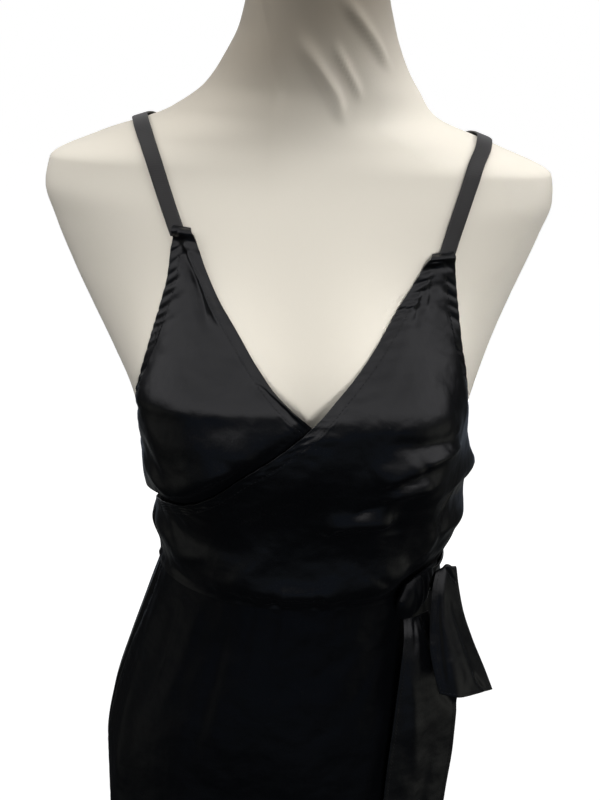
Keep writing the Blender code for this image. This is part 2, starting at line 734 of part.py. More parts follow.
def strap_point(x, turn):
    """Point on the form in the upright plane at x, at a turn about the strap's centre."""
    out_y = -math.cos(math.radians(turn))
    out_z = math.sin(math.radians(turn))
    low = 0.01
    high = 0.30
    for _ in range(40):
        middle = (low + high) / 2
        height = STRAP_CENTRE_HEIGHT + out_z * middle
        y = out_y * middle
        inside = False
        if height < NECK_TOP:
            sideways = read(FORM_SECTIONS, height)[-1]
            angle = math.degrees(math.atan2(y, x - sideways))
            inside = math.hypot(x - sideways, y) < built_radius(angle, height)
        if inside:
            low = middle
        else:
            high = middle
    return Vector((x, out_y * low, WAIST_HEIGHT + STRAP_CENTRE_HEIGHT + out_z * low))


def make_strap(name, table):
    """A flat strap that follows the shoulder from the front's tip to the back's top edge."""
    first = table[0][0]
    last = table[-1][0]
    half = STRAP_WIDTH / 2

    def point(u, v, inward):
        turn = first + (last - first) * v
        x = read(table, turn)[0]
        edge = x + (u - 0.5) * 2 * half
        lift = STRAP_LIFT + STRAP_THICK - inward + STRAP_BACK_LIFT[name] * smooth(v, *STRAP_LIFT_SPAN)
        base = strap_point(edge, turn)
        step = strap_point(edge, turn + 3.0) - strap_point(edge, turn - 3.0)
        across = strap_point(edge + 0.004, turn) - strap_point(edge - 0.004, turn)
        normal = step.cross(across).normalized()
        if normal.dot(base - Vector((x * 0.6, 0, WAIST_HEIGHT + STRAP_CENTRE_HEIGHT))) < 0:
            normal = -normal
        return base + normal * lift

    wall(name, evenly(2), evenly(STRAP_STEPS), point, STRAP_THICK)


def dress_radius(angle, height):
    """Outside of the whole dress at the waist, above and below the seam."""
    if height >= 0:
        return bodice_radius(angle, height)
    return skirt_radius(angle, height)


def dress_reach(angle, height, sideways):
    """The dress's outside at an angle, measured from another middle."""
    sections = FORM_SECTIONS if height >= 0 else SKIRT_SECTIONS
    shift = read(sections, height)[-1] - sideways
    return dress_radius(angle, height) + shift * math.cos(math.radians(angle))


def make_tie():
    """Band round the back, knot and the two hanging ends."""
    start = TIE_BAND[0][0]
    end = TIE_BAND[-1][0]

    def band_point(u, v, inward):
        angle = start + (end - start) * u
        middle, half = read(TIE_BAND, angle)
        height = middle + (2 * v - 1) * half
        levels = [height + share * BAND_SMOOTHING for share in (-1, 0, 1)]
        sideways = read(FORM_SECTIONS, middle)[-1]
        turn = math.radians(angle)
        radius = max(dress_reach(angle, level, sideways) for level in levels) + SEAM_GAP * 2
        reach = radius + BAND - inward
        return Vector((sideways + reach * math.cos(turn), reach * math.sin(turn),
                       WAIST_HEIGHT + height))

    wall("waist_tie", evenly(32), evenly(4), band_point, BAND)
    make_knot()
    make_end("tie_end_short", SHORT_END, SHORT_FOLD, 6, 18)
    make_end("tie_end_long", LONG_END, LONG_FOLD, 6, 16)


def make_knot():
    """A squeezed round knot, creased where the band pulls tight, its back on the dress."""
    base = dress_radius(KNOT_ANGLE, KNOT_HEIGHT) + KNOT_CLEAR
    sideways = read(FORM_SECTIONS, KNOT_HEIGHT)[-1]
    rings = []
    for ring in range(1, 10):
        tilt = math.pi * ring / 10 - math.pi / 2
        height = KNOT_HEIGHT + KNOT_RISE * math.sin(tilt)
        points = []
        for index in range(16):
            around = 2 * math.pi * index / 16
            crease = 1 - 0.07 * math.cos(3 * around + 0.8) * math.cos(tilt)
            wide = math.cos(tilt) * math.cos(around) * crease
            out = math.cos(tilt) * math.sin(around) * crease
            angle = KNOT_ANGLE + KNOT_AROUND * wide
            behind = max(dress_reach(angle + turn, height + rise, sideways)
                         for turn in (-2, 0, 2) for rise in (-0.003, 0, 0.003))
            reach = max(base + KNOT_OUT * (1 + out), behind + KNOT_CLEAR + 0.002 * (1 + out))
            turn = math.radians(angle)
            points.append(Vector((sideways + reach * math.cos(turn), reach * math.sin(turn),
                                  WAIST_HEIGHT + height)))
        rings.append(points)
    closed_rings("tie_knot", rings, (0.014, 0.015, 0.018), 0.45)


def make_end(name, table, fold, count, steps):
    """A hanging end: a strip between its two edges with a rounded fold down its length."""
    numbered = tuple((index, *row) for index, row in enumerate(table))

    def spot(u, v):
        row = read(numbered, v * (len(table) - 1))
        left, middle, right = Vector(row[0:3]), Vector(row[3:6]), Vector(row[6:9])
        past = u - fold
        rounded = math.hypot(past, FOLD_ROUND) - FOLD_ROUND
        to_right = (rounded + past) / 2 / (1 - fold)
        to_left = (rounded - past) / 2 / fold
        folded = middle + (right - middle) * to_right + (left - middle) * to_left
        return folded + Vector((0, 0, WAIST_HEIGHT))

    def point(u, v, inward):
        down = spot(u, min(v + 0.01, 1)) - spot(u, max(v - 0.01, 0))
        facing = down.cross(spot(min(u + 0.1, 1), v) - spot(max(u - 0.1, 0), v)).normalized()
        place_now = spot(u, v)
        height = min(place_now.z - WAIST_HEIGHT, 0)
        sideways = read(SKIRT_SECTIONS, height)[-1]
        angle = math.degrees(math.atan2(place_now.y, place_now.x - sideways))
        short = skirt_radius(angle, height) + END_CLEAR - math.hypot(
            place_now.x - sideways, place_now.y)
        if short > 0:
            turn = math.radians(angle)
            place_now += Vector((math.cos(turn), math.sin(turn), 0)) * short
        return place_now - facing * inward

    wall(name, evenly(count), evenly(steps), point, CLOTH)


def main():
    for old in list(bpy.data.objects):
        bpy.data.objects.remove(old, do_unlink=True)
    make_form()
    make_stand()
    make_bodice()
    make_skirt()
    make_strap("strap_right", STRAP_RIGHT)
    make_strap("strap_left", STRAP_LEFT)
    make_tie()


main()
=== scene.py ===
"""A black satin wrap dress on a limbless dress form: cloth, stitches, finishes and the studio.

Metres, +Z up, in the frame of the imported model. Angles run round the form in degrees: 0 is the
wearer's left, -90 the front, 180 the wearer's right and 90 the back. Heights in the tables are
above the waist seam.
"""

import math

import bmesh
import bpy
import numpy as np
from mathutils import Matrix, Vector


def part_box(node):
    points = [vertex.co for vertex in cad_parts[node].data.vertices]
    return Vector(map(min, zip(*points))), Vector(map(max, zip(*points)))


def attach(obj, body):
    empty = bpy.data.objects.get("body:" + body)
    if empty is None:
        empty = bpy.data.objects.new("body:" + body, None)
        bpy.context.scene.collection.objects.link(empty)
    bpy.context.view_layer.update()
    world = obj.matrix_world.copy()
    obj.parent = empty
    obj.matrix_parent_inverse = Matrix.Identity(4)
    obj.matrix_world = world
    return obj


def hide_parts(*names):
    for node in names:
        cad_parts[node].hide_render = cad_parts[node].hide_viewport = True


bl_info = {
    "name": "Wrap dress on a dress form",
    "version": (1, 0, 0),
    "blender": (4, 5, 0),
    "location": "3D View > Sidebar > Wrap dress",
    "description": "Builds a satin wrap dress, its dress form and a plain studio",
    "category": "Add Mesh",
}

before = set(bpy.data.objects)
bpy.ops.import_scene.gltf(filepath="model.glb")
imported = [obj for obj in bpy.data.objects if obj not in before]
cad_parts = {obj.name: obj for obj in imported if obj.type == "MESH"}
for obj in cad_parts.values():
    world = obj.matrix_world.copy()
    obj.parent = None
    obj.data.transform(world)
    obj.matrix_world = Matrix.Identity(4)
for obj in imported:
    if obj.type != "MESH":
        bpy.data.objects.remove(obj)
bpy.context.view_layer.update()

# -------------------- heights and gaps
WAIST = round(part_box("skirt_back")[1].z, 3)
HEM_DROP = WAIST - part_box("skirt_back")[0].z
NECK_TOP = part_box("form_torso")[1].z - WAIST
FORM_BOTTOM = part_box("form_torso")[0].z - WAIST
# Radius at which turns are read as lengths
MEAN_RADIUS = 0.125
# Gap at a sewn seam, half of it as a turn in degrees, and the gap under the tie's band
SEAM_GAP = 0.00004
SEAM_TURN = math.degrees(SEAM_GAP / 2 / MEAN_RADIUS)
LAY_GAP = 0.0006
# How far an under layer lies inside the top one, and the room that is added where they cross
LAYER_STEP = 0.0032
FOLD_ROOM = 0.0024
ROOM_TURN = (-100, -80)
# Degrees from its side seam that the under front stays out, and over which it then goes in
SIDE_LAP = 1.2
LAP_TURN = 1.2
# Heights over the crossing edge, and angles, between which the under front comes to show
SHOW_START = 0.002
SHOW_END = 0.013
SHOW_TURN = (-74, -90)
# Share of its hems' relief that the under front keeps where it is covered
UNDER_LEAST = 0.3
# Puff of the under front over the crossing edge: depth, height, spreads above and below, and
# angles over which it grows from its ends
PUFF_DEPTH = 0.0060
PUFF_PLACE = 0.015
PUFF_ABOVE = 0.028
PUFF_BELOW = 0.012
PUFF_FRONT = (-92, -112)
PUFF_SIDE = (-179, -160)
# Height over the waist seam, and degrees from a side seam, over which folds come to their depth
SEAM_SETTLE = 0.020
SEAM_FADE = 6
# Turn in degrees and rise over which a surface's slope is measured
SLOPE_TURN = 0.6
SLOPE_RISE = 0.0012

# -------------------- the form
# Sections of the form: height, half width, front and back depth, squareness, sideways shift
FORM_SECTIONS = (
    (0.505, 0.0526, 0.062, 0.044, 2.0, 0.0040),
    (0.480, 0.0530, 0.059, 0.052, 2.0, 0.0020),
    (0.450, 0.0589, 0.056, 0.060, 2.0, 0.0025),
    (0.425, 0.0696, 0.055, 0.068, 2.0, 0.0010),
    (0.405, 0.0823, 0.055, 0.074, 2.0, 0.0000),
    (0.385, 0.1041, 0.057, 0.080, 2.0, -0.0061),
    (0.365, 0.1568, 0.060, 0.086, 2.2, -0.0084),
    (0.345, 0.1976, 0.065, 0.090, 2.5, -0.0066),
    (0.325, 0.2007, 0.071, 0.094, 2.5, -0.0073),
    (0.300, 0.1936, 0.079, 0.098, 2.4, -0.0075),
    (0.265, 0.1804, 0.089, 0.103, 2.3, -0.0072),
    (0.235, 0.1678, 0.096, 0.106, 2.3, -0.0059),
    (0.200, 0.1534, 0.102, 0.106, 2.3, -0.0030),
    (0.165, 0.1408, 0.105, 0.103, 2.3, 0.0001),
    (0.130, 0.1335, 0.104, 0.097, 2.2, 0.001),
    (0.100, 0.1275, 0.101, 0.091, 2.2, 0.002),
    (0.050, 0.1140, 0.089, 0.082, 2.1, 0.003),
    (0.010, 0.1120, 0.085, 0.079, 2.1, 0.003),
    (-0.040, 0.1190, 0.088, 0.086, 2.1, 0.000),
    (-0.090, 0.1355, 0.095, 0.099, 2.1, -0.004),
    (-0.140, 0.1460, 0.095, 0.111, 2.2, -0.007),
    (-0.190, 0.1520, 0.092, 0.118, 2.2, -0.010),
    (-0.235, 0.1525, 0.087, 0.118, 2.2, -0.010),
    (-0.280, 0.1470, 0.079, 0.107, 2.2, -0.010),
)
# Fullness of the chest: height, turn from the front on each side, spreads and depth
BUST_HEIGHT = 0.165
BUST_ANGLE = 33
BUST_SPREAD = 24
BUST_DEPTH = 0.042
BUST_ABOVE = 0.070
BUST_BELOW = 0.042
# The cloth is fuller below the chest, and bridges the hollow at its middle
CLOTH_BELOW = 0.085
BRIDGE_HEIGHT = 0.150
BRIDGE_DEPTH = 0.016
BRIDGE_SPREAD = 17
BRIDGE_RISE = 0.070
# Wrinkles of the cover at the neck, in the columns of the dress's creases
NECK_CREASES = (
    (-142, 0.470, -112, 0.396, 0.002, 0.0080, 0.0060, -0.0018),
    (-101, 0.436, -63, 0.388, 0.002, 0.0075, 0.0050, 0.0042),
    (-76, 0.434, -55, 0.402, 0.001, 0.0050, 0.0030, 0.0026),
    (-70, 0.464, -33, 0.424, 0.002, 0.0070, 0.0045, 0.0036),
    (60, 0.480, 110, 0.450, 0.002, 0.0050, 0.0040, -0.0005),
    (100, 0.470, 150, 0.430, 0.002, 0.0050, 0.0040, 0.0005),
)

# The torso's grid: heights between which its rows lie closer, rows of each part, columns
SHOULDERS = (0.30, 0.42)
TORSO_ROWS = (110, 60, 30)
TORSO_COLUMNS = 180
# Rounded plates on the form's ends: share of the form's outline, rise over the plate's underside
CAP_RINGS = (
    (0.000, 0.0000), (1.010, 0.0000), (1.034, 0.0004), (1.040, 0.0014), (1.040, 0.0046),
    (1.034, 0.0062), (1.015, 0.0071), (0.960, 0.0077), (0.800, 0.0080), (0.450, 0.0081),
    (0.000, 0.0081),
)
BOARD_RINGS = (
    (0.000, 0.0000), (0.880, 0.0000), (0.896, 0.0006), (0.900, 0.0024),
    (0.900, 0.0076), (0.896, 0.0094), (0.880, 0.0100), (0.000, 0.0100),
)
OUTLINE_COLUMNS = 120

# -------------------- the stand
# The base's plate: thickness, and radius of its rim's lower and upper corner
BASE_THICK = 0.006
BASE_LOWER = 0.0020
BASE_UPPER = 0.0022
# The hub: radius and rise over the plate at its foot, middle and radius of its top's corner,
# and radius and depth of the dip round the pole
HUB_FOOT = ((0.0360, 0.0009), (0.0330, 0.0018), (0.0315, 0.0040))
HUB_TOP = 0.0255
HUB_CORNER = 0.0025
HUB_MOUTH = ((0.0165, 0.0000), (0.0163, 0.0010), (0.0000, 0.0010))
# The collar: its sleeve's radius, the flare under the flange as added radius and drop from the
# top, the corners' radii, and the drop of the flange's lower corner
COLLAR_SLEEVE = 0.022
COLLAR_NECK = ((0.0000, 0.0135), (0.0010, 0.0115))
COLLAR_CORNER = 0.0012
COLLAR_RIM = 0.0010
COLLAR_FLANGE = 0.0048
# Sides of the turned pieces, steps of a rounded corner, and angles that stay sharp
BASE_STEPS = 128
POLE_STEPS = 64
COLLAR_STEPS = 72
ARC_STEPS = 6
SPUN_SHARP = 35
TUBE_SHARP = 50
MERGE_DISTANCE = 0.000002

# -------------------- the dress
# Cloth's distance from the form: height, front, wearer's left, wearer's right, back
BODICE_EASE = (
    (0.320, 0.0074, 0.0074, 0.0074, 0.0060),
    (0.270, 0.0066, 0.0062, 0.0062, 0.0055),
    (0.200, 0.0076, 0.0055, 0.0052, 0.0050),
    (0.160, 0.0086, 0.0070, 0.0066, 0.0050),
    (0.130, 0.0090, 0.0155, 0.0054, 0.0060),
    (0.112, 0.0096, 0.0220, 0.0050, 0.0063),
    (0.100, 0.0102, 0.0164, 0.0053, 0.0065),
    (0.088, 0.0118, 0.0184, 0.0062, 0.0067),
    (0.075, 0.0160, 0.0226, 0.0080, 0.0071),
    (0.060, 0.0205, 0.0270, 0.0092, 0.0075),
    (0.040, 0.0250, 0.0240, 0.0150, 0.0105),
    (0.026, 0.0268, 0.0185, 0.0118, 0.0120),
    (0.017, 0.0248, 0.0150, 0.0098, 0.0115),
    (0.010, 0.0200, 0.0130, 0.0092, 0.0100),
    (0.004, 0.0154, 0.0124, 0.0110, 0.0095),
    (0.000, 0.0145, 0.0124, 0.0110, 0.0092),
)
# Sections of the skirt, in the columns of the form's sections
SKIRT_SECTIONS = (
    (0.000, 0.1224, 0.0983, 0.0872, 2.1, 0.0042),
    (-0.040, 0.1312, 0.0995, 0.0940, 2.1, -0.001),
    (-0.090, 0.1440, 0.1040, 0.1080, 2.1, -0.005),
    (-0.140, 0.1560, 0.1055, 0.1200, 2.2, -0.008),
    (-0.190, 0.1620, 0.1050, 0.1270, 2.2, -0.010),
    (-0.240, 0.1620, 0.1060, 0.1270, 2.2, -0.010),
    (-0.320, 0.1625, 0.1090, 0.1270, 2.2, -0.009),
    (-0.450, 0.1720, 0.1190, 0.1330, 2.2, -0.006),
    (-0.620, 0.1880, 0.1370, 0.1470, 2.2, -0.002),
)
# Soft waves of the skirt: count all round, turn in degrees, share of the depth
SKIRT_WAVES = ((5, 40, 0.45), (9, 110, 0.35), (13, 15, 0.20))
# Height at which the waves start, their depth at the hem, and the power by which they grow
WAVE_START = -0.100
WAVE_DEPTH = 0.016
WAVE_GROWTH = 1.3
# Blouson roll over the waist seam: angle, added depth
ROLL_SWELL = (
    (-180, 0.000), (-137, 0.000), (-112, 0.003), (-90, 0.000),
    (-68, 0.003), (-52, 0.007), (-38, 0.003), (-20, 0.000),
    (180, 0.000),
)
ROLL_HEIGHT = 0.026
ROLL_SPREAD = 0.020
# Dimple where the knot draws the roll in
DIMPLE_ANGLE = -38
DIMPLE_SPREAD = 14
DIMPLE_HEIGHT = 0.010
DIMPLE_RISE = 0.022
DIMPLE_DEPTH = 0.010

# Creases: start angle and height, end angle and height, bow of the line,
# half width on its left and on its right as it runs, rise
FRONT_CREASES = (
    (-67, 0.133, -56, 0.147, 0.000, 0.0125, 0.0046, 0.0072),
    (-57, 0.147, -48, 0.153, 0.000, 0.0085, 0.0032, 0.0058),
    (-50, 0.152, -40, 0.1505, 0.000, 0.0056, 0.0026, 0.0044),
    (-66, 0.166, -46, 0.162, 0.000, 0.0060, 0.0060, -0.0026),
    (-62, 0.133, -53, 0.141, 0.000, 0.0026, 0.0050, -0.0026),
    (-65, 0.117, -51, 0.127, 0.002, 0.0085, 0.0055, 0.0062),
    (-71, 0.1035, -60.5, 0.1185, 0.001, 0.0020, 0.0044, -0.0034),
    (-81, 0.086, -58, 0.093, 0.002, 0.0110, 0.0065, 0.0084),
    (-57, 0.122, -57, 0.078, 0.000, 0.0085, 0.0095, -0.0042),
    (-48, 0.108, -38, 0.045, 0.002, 0.0110, 0.0095, 0.0044),
    (-28, 0.110, -38, 0.086, 0.001, 0.0026, 0.0026, -0.0030),
    (-8, 0.080, -30, 0.092, 0.000, 0.0080, 0.0080, -0.0020),
    (-8, 0.056, -34, 0.066, 0.000, 0.0080, 0.0080, 0.0024),
    (-172, 0.050, -146, 0.052, 0.000, 0.0110, 0.0110, 0.0030),
    (-150, 0.024, -128, 0.046, 0.000, 0.0080, 0.0080, 0.0020),
    (-112, 0.034, -100, 0.062, 0.000, 0.0090, 0.0090, 0.0018),
    (-49, 0.157, -41, 0.169, 0.000, 0.0030, 0.0026, 0.0010),
    (-104, 0.019, -74, 0.018, 0.000, 0.0110, 0.0060, 0.0036),
    (-46, 0.020, -64, 0.046, 0.003, 0.0030, 0.0050, -0.0014),
    (-42, 0.030, -50, 0.060, 0.002, 0.0030, 0.0050, -0.0012),
    (-22, 0.018, -14, 0.050, 0.001, 0.0040, 0.0050, -0.0014),
    (-150, 0.074, -142, 0.048, 0.001, 0.0060, 0.0080, 0.0018),
    (-160, 0.030, -166, 0.056, 0.001, 0.0030, 0.0050, -0.0012),
    (-84, 0.178, -44, 0.187, 0.004, 0.0240, 0.0150, 0.0036),
    (-41.4, 0.268, -47.4, 0.245, 0.001, 0.0020, 0.0030, -0.0022),
    (-37.4, 0.283, -41.4, 0.254, 0.001, 0.0020, 0.0030, -0.0024),
    (-35, 0.270, -35, 0.236, 0.000, 0.0024, 0.0036, -0.0014),
    (-50, 0.244, -66, 0.204, 0.002, 0.0050, 0.0040, 0.0008),
    (-120, 0.072, -98, 0.112, 0.004, 0.0060, 0.0090, 0.0010),
)
CUP_CREASES = (
    (-139.0, 0.297, -121.6, 0.2435, 0.001, 0.0032, 0.0030, -0.0046),
    (-133.4, 0.288, -116.6, 0.2425, 0.001, 0.0040, 0.0030, 0.0030),
    (-103.5, 0.205, -88.5, 0.1745, 0.001, 0.0016, 0.0030, -0.0014),
    (-101.0, 0.206, -89.0, 0.180, 0.000, 0.0022, 0.0022, 0.0014),
    (-150.0, 0.122, -128.0, 0.108, 0.000, 0.0090, 0.0090, 0.0035),
    (-128.0, 0.108, -108.0, 0.142, 0.000, 0.0090, 0.0090, 0.0035),
    (-121.5, 0.143, -118.5, 0.130, 0.000, 0.0030, 0.0030, 0.0013),
    (-146.0, 0.183, -94.0, 0.184, 0.002, 0.0220, 0.0085, 0.0042),
    (-140.0, 0.150, -132.0, 0.118, 0.002, 0.0050, 0.0070, -0.0014),
    (-112.0, 0.150, -104.0, 0.136, 0.001, 0.0040, 0.0060, -0.0010),
    (-147.0, 0.200, -138.0, 0.176, 0.001, 0.0040, 0.0060, 0.0010),
)
BACK_CREASES = (
    (10, 0.080, 48, 0.092, 0.000, 0.0070, 0.0070, -0.0020),
    (172, 0.074, 128, 0.090, 0.000, 0.0070, 0.0070, -0.0022),
    (60, 0.034, 78, 0.066, 0.000, 0.0070, 0.0070, -0.0020),
    (118, 0.030, 104, 0.060, 0.000, 0.0070, 0.0070, -0.0018),
    (14, 0.046, 44, 0.056, 0.000, 0.0080, 0.0080, 0.0018),
    (16, 0.092, 40, 0.100, 0.002, 0.0030, 0.0040, -0.0010),
    (84, 0.030, 92, 0.058, 0.001, 0.0040, 0.0030, -0.0012),
    (160, 0.044, 138, 0.058, 0.002, 0.0040, 0.0050, 0.0014),
    (30, 0.030, 44, 0.052, 0.001, 0.0030, 0.0040, -0.0012),
    (70, 0.084, 96, 0.078, 0.003, 0.0060, 0.0060, 0.0010),
)
SKIRT_CREASES = (
    (-44, -0.014, -86, -0.070, 0.006, 0.0060, 0.0090, -0.0010),
    (-46, -0.030, -78, -0.130, 0.010, 0.0080, 0.0100, -0.0011),
    (-40, -0.045, -54, -0.190, 0.006, 0.0100, 0.0080, 0.0012),
    (-92, -0.060, -104, -0.260, 0.008, 0.0110, 0.0130, 0.0008),
    (-122, -0.020, -128, -0.150, 0.004, 0.0070, 0.0090, -0.0022),
    (-136, -0.010, -142, -0.110, 0.003, 0.0060, 0.0070, 0.0022),
    (-148, -0.016, -152, -0.130, 0.004, 0.0050, 0.0080, -0.0024),
    (-160, -0.030, -158, -0.220, 0.004, 0.0070, 0.0080, 0.0024),
    (-168, -0.010, -172, -0.080, 0.002, 0.0040, 0.0050, -0.0014),
    (-24, -0.040, -18, -0.200, 0.004, 0.0080, 0.0080, 0.0022),
    (-8, -0.016, -6, -0.110, 0.003, 0.0060, 0.0060, -0.0018),
    (20, -0.030, 30, -0.170, 0.004, 0.0080, 0.0100, -0.0024),
    (48, -0.026, 52, -0.220, 0.006, 0.0100, 0.0100, 0.0026),
    (72, -0.030, 80, -0.190, 0.005, 0.0090, 0.0110, -0.0024),
    (104, -0.026, 98, -0.230, 0.006, 0.0100, 0.0110, 0.0024),
    (128, -0.030, 136, -0.180, 0.005, 0.0090, 0.0090, -0.0026),
    (156, -0.024, 150, -0.200, 0.004, 0.0080, 0.0100, 0.0022),
    (-112, -0.300, -118, -0.560, 0.006, 0.0140, 0.0160, 0.0030),
    (-70, -0.320, -64, -0.580, 0.006, 0.0150, 0.0150, -0.0030),
    (64, -0.320, 70, -0.580, 0.006, 0.0150, 0.0150, -0.0030),
    (116, -0.300, 110, -0.570, 0.006, 0.0140, 0.0150, 0.0030),
)

# Edges of the fronts: station from waist to strap, angle, height
LEFT_SIDE = (
    (0.00, 0.0, 0.000), (0.10, 0.0, 0.017), (0.20, 0.0, 0.040),
    (0.33, 0.0, 0.064), (0.43, 0.0, 0.088), (0.50, -5.0, 0.101),
    (0.56, -13.0, 0.124), (0.62, -21.8, 0.156), (0.70, -30.0, 0.192),
    (0.80, -32.6, 0.230), (0.90, -32.4, 0.265), (1.00, -32.2, 0.295),
)
OVER_EDGE = (
    (0.00, -174.0, 0.000), (0.10, -175.0, 0.017), (0.20, -176.0, 0.036),
    (0.30, -177.0, 0.055), (0.36, -167.0, 0.064), (0.43, -149.0, 0.077),
    (0.49, -131.5, 0.0915), (0.54, -118.5, 0.108), (0.60, -107.0, 0.131),
    (0.65, -97.5, 0.149), (0.71, -86.0, 0.174), (0.76, -77.9, 0.195),
    (0.82, -66.4, 0.222), (0.88, -55.0, 0.248), (0.94, -45.0, 0.271),
    (1.00, -37.6, 0.293),
)
RIGHT_SIDE = (
    (0.00, -180.0, 0.000), (0.10, -180.0, 0.017), (0.20, -180.0, 0.040),
    (0.33, -180.0, 0.075), (0.43, -180.0, 0.108), (0.50, -170.0, 0.118),
    (0.56, -158.0, 0.138), (0.62, -146.5, 0.164), (0.69, -140.6, 0.190),
    (0.80, -138.4, 0.228), (0.90, -137.7, 0.264), (1.00, -139.8, 0.307),
)
UNDER_EDGE = (
    (0.00, -6.0, 0.000), (0.10, -5.0, 0.017), (0.20, -5.0, 0.040),
    (0.30, -5.0, 0.062), (0.36, -15.0, 0.073), (0.43, -32.0, 0.084),
    (0.49, -47.0, 0.098), (0.54, -61.0, 0.117), (0.60, -75.0, 0.145),
    (0.65, -85.0, 0.172), (0.71, -93.0, 0.190), (0.77, -101.5, 0.212),
    (0.83, -109.5, 0.235), (0.89, -118.5, 0.258), (0.95, -127.5, 0.283),
    (1.00, -134.4, 0.306),
)
# Stations where the side seam ends and where the crossing edge comes free, and over which the
# hems there begin
SIDE_TOP = 0.43
CROSS_START = 0.30
SIDE_FREE = (SIDE_TOP - 0.01, SIDE_TOP + 0.04)
CROSS_FREE = (CROSS_START, CROSS_START + 0.06)
# Top edge of the back: angle, height
BACK_TOP = (
    (0, 0.086), (30, 0.096), (62, 0.116), (90, 0.112),
    (118, 0.122), (150, 0.108), (180, 0.108),
)
# Angles of the skirt fronts' free edges, and over which the under one goes in at its side seam
OVER_SKIRT_EDGE = -170
UNDER_SKIRT_EDGE = -8
UNDER_SKIRT_RISE = (-174.5, -171.5)

# Straps in polar steps round the shoulder: turn from the front, distance from the middle
STRAP_RIGHT = (
    (27, -0.0940), (37, -0.1000), (52, -0.1100), (62, -0.1180),
    (77, -0.1280), (92, -0.1330), (112, -0.1300), (140, -0.1150),
    (180, -0.0900), (210, -0.0720), (238, -0.0580),
)
STRAP_LEFT = (
    (21, 0.1037), (36, 0.1095), (50, 0.1165), (60, 0.1225),
    (74, 0.1310), (90, 0.1350), (112, 0.1310), (140, 0.1150),
    (180, 0.0900), (210, 0.0720), (238, 0.0580),
)
# Height of the steps' middle, and the straps' lift off the form
STRAP_CENTRE_HEIGHT = 0.260
STRAP_LIFT = 0.0019
# Lift at the hidden back end, and the share of the length over which it grows
STRAP_BACK_LIFT = {"strap_right": 0.0002, "strap_left": 0.0022}
STRAP_LIFT_SPAN = (0.88, 0.97)
# Drop at both edges, and the share of the half width over which it grows
STRAP_EDGE_DROP = 0.00035
STRAP_ROUND = (0.8, 1.0)
# Where the form's side is looked for: nearest, furthest and halvings between them
STRAP_SEARCH = (0.01, 0.30)
STRAP_HALVINGS = 36
# Turn in degrees and sideways step over which the slope under a strap is measured, and how far
# out the point lies that a strap faces away from, as a share of the strap's own distance
STRAP_PROBE = (3, 0.004)
STRAP_CENTRE_SHARE = 0.6

# Tie band round the back: angle, middle height, half height
TIE_BAND = (
    (168, 0.000, 0.0160), (120, 0.001, 0.0210), (60, 0.002, 0.0205),
    (20, 0.002, 0.0170), (0, 0.002, 0.0130), (-18, 0.004, 0.0110),
    (-26, 0.006, 0.0100),
)
# The band's depth, and how far up and down the dress under it is felt
TIE_DEPTH = 0.0024
BAND_SMOOTHING = 0.0045
# Drop at the band's edges, and the share of its half width over which it grows
BAND_EDGE_DROP = 0.0012
BAND_ROUND = (0.86, 1.0)
# Length and width of the band's flat cut, and those that place its creases
BAND_CUT = (0.45, 0.040)
BAND_SIZE = (0.40, 0.040)

# The knot: its middle, its half sizes round the waist, upwards and outwards, and its lean
KNOT_ANGLE = -36
KNOT_HEIGHT = 0.009
KNOT_AROUND = 10.5
KNOT_RISE = 0.0235
KNOT_OUT = 0.0090
KNOT_LEAN = 4.0
# Valleys of the knot's wraps: place up the knot, slant, half width and depth, as shares of it
KNOT_VALLEYS = (
    (-0.80, 1.90, 0.24, 0.09),
    (0.10, 2.20, 0.20, 0.12),
    (0.95, 2.00, 0.24, 0.10),
)
# How far the valleys bend, and the levelness over which they fade in from the knot's ends
KNOT_BEND = 0.25
KNOT_VALLEY_FADE = (0.1, 0.5)
# Lobes round the knot: depth, count, turn in radians
KNOT_LOBES = (0.05, 3, 0.8)
# Fine ripples all over the knot: depth, radians up it and across it
KNOT_RIPPLE = (0.02, 9, 7)
# Power that flattens the knot's side towards its ends
KNOT_FLATNESS = 1.3
# The knot's gap to the dress, its least thickness over it, and how far round and up the dress
# behind it is felt
KNOT_CLEAR = 0.0005
KNOT_LEAST = 0.002
KNOT_PROBE = (2, 0.003)

# Hanging ends: left edge, fold line and right edge, each across, in depth and in height
SHORT_END = (
    (0.1150, -0.0644, 0.0040, 0.1250, -0.0602, 0.0030, 0.1310, -0.0570, 0.0020),
    (0.1150, -0.0694, 0.0180, 0.1250, -0.0648, 0.0200, 0.1340, -0.0590, 0.0170),
    (0.1170, -0.0760, 0.0270, 0.1250, -0.0740, 0.0320, 0.1352, -0.0640, 0.0262),
    (0.1145, -0.0815, 0.0130, 0.1240, -0.0830, 0.0190, 0.1379, -0.0660, 0.0125),
    (0.1140, -0.0860, -0.0086, 0.1250, -0.0900, -0.0030, 0.1441, -0.0640, -0.0124),
    (0.1145, -0.0905, -0.0317, 0.1308, -0.0950, -0.0273, 0.1552, -0.0600, -0.0438),
    (0.1210, -0.0950, -0.0606, 0.1386, -0.0990, -0.0571, 0.1699, -0.0570, -0.0763),
    (0.1261, -0.0970, -0.0747, 0.1427, -0.1000, -0.0768, 0.1790, -0.0560, -0.0961),
)
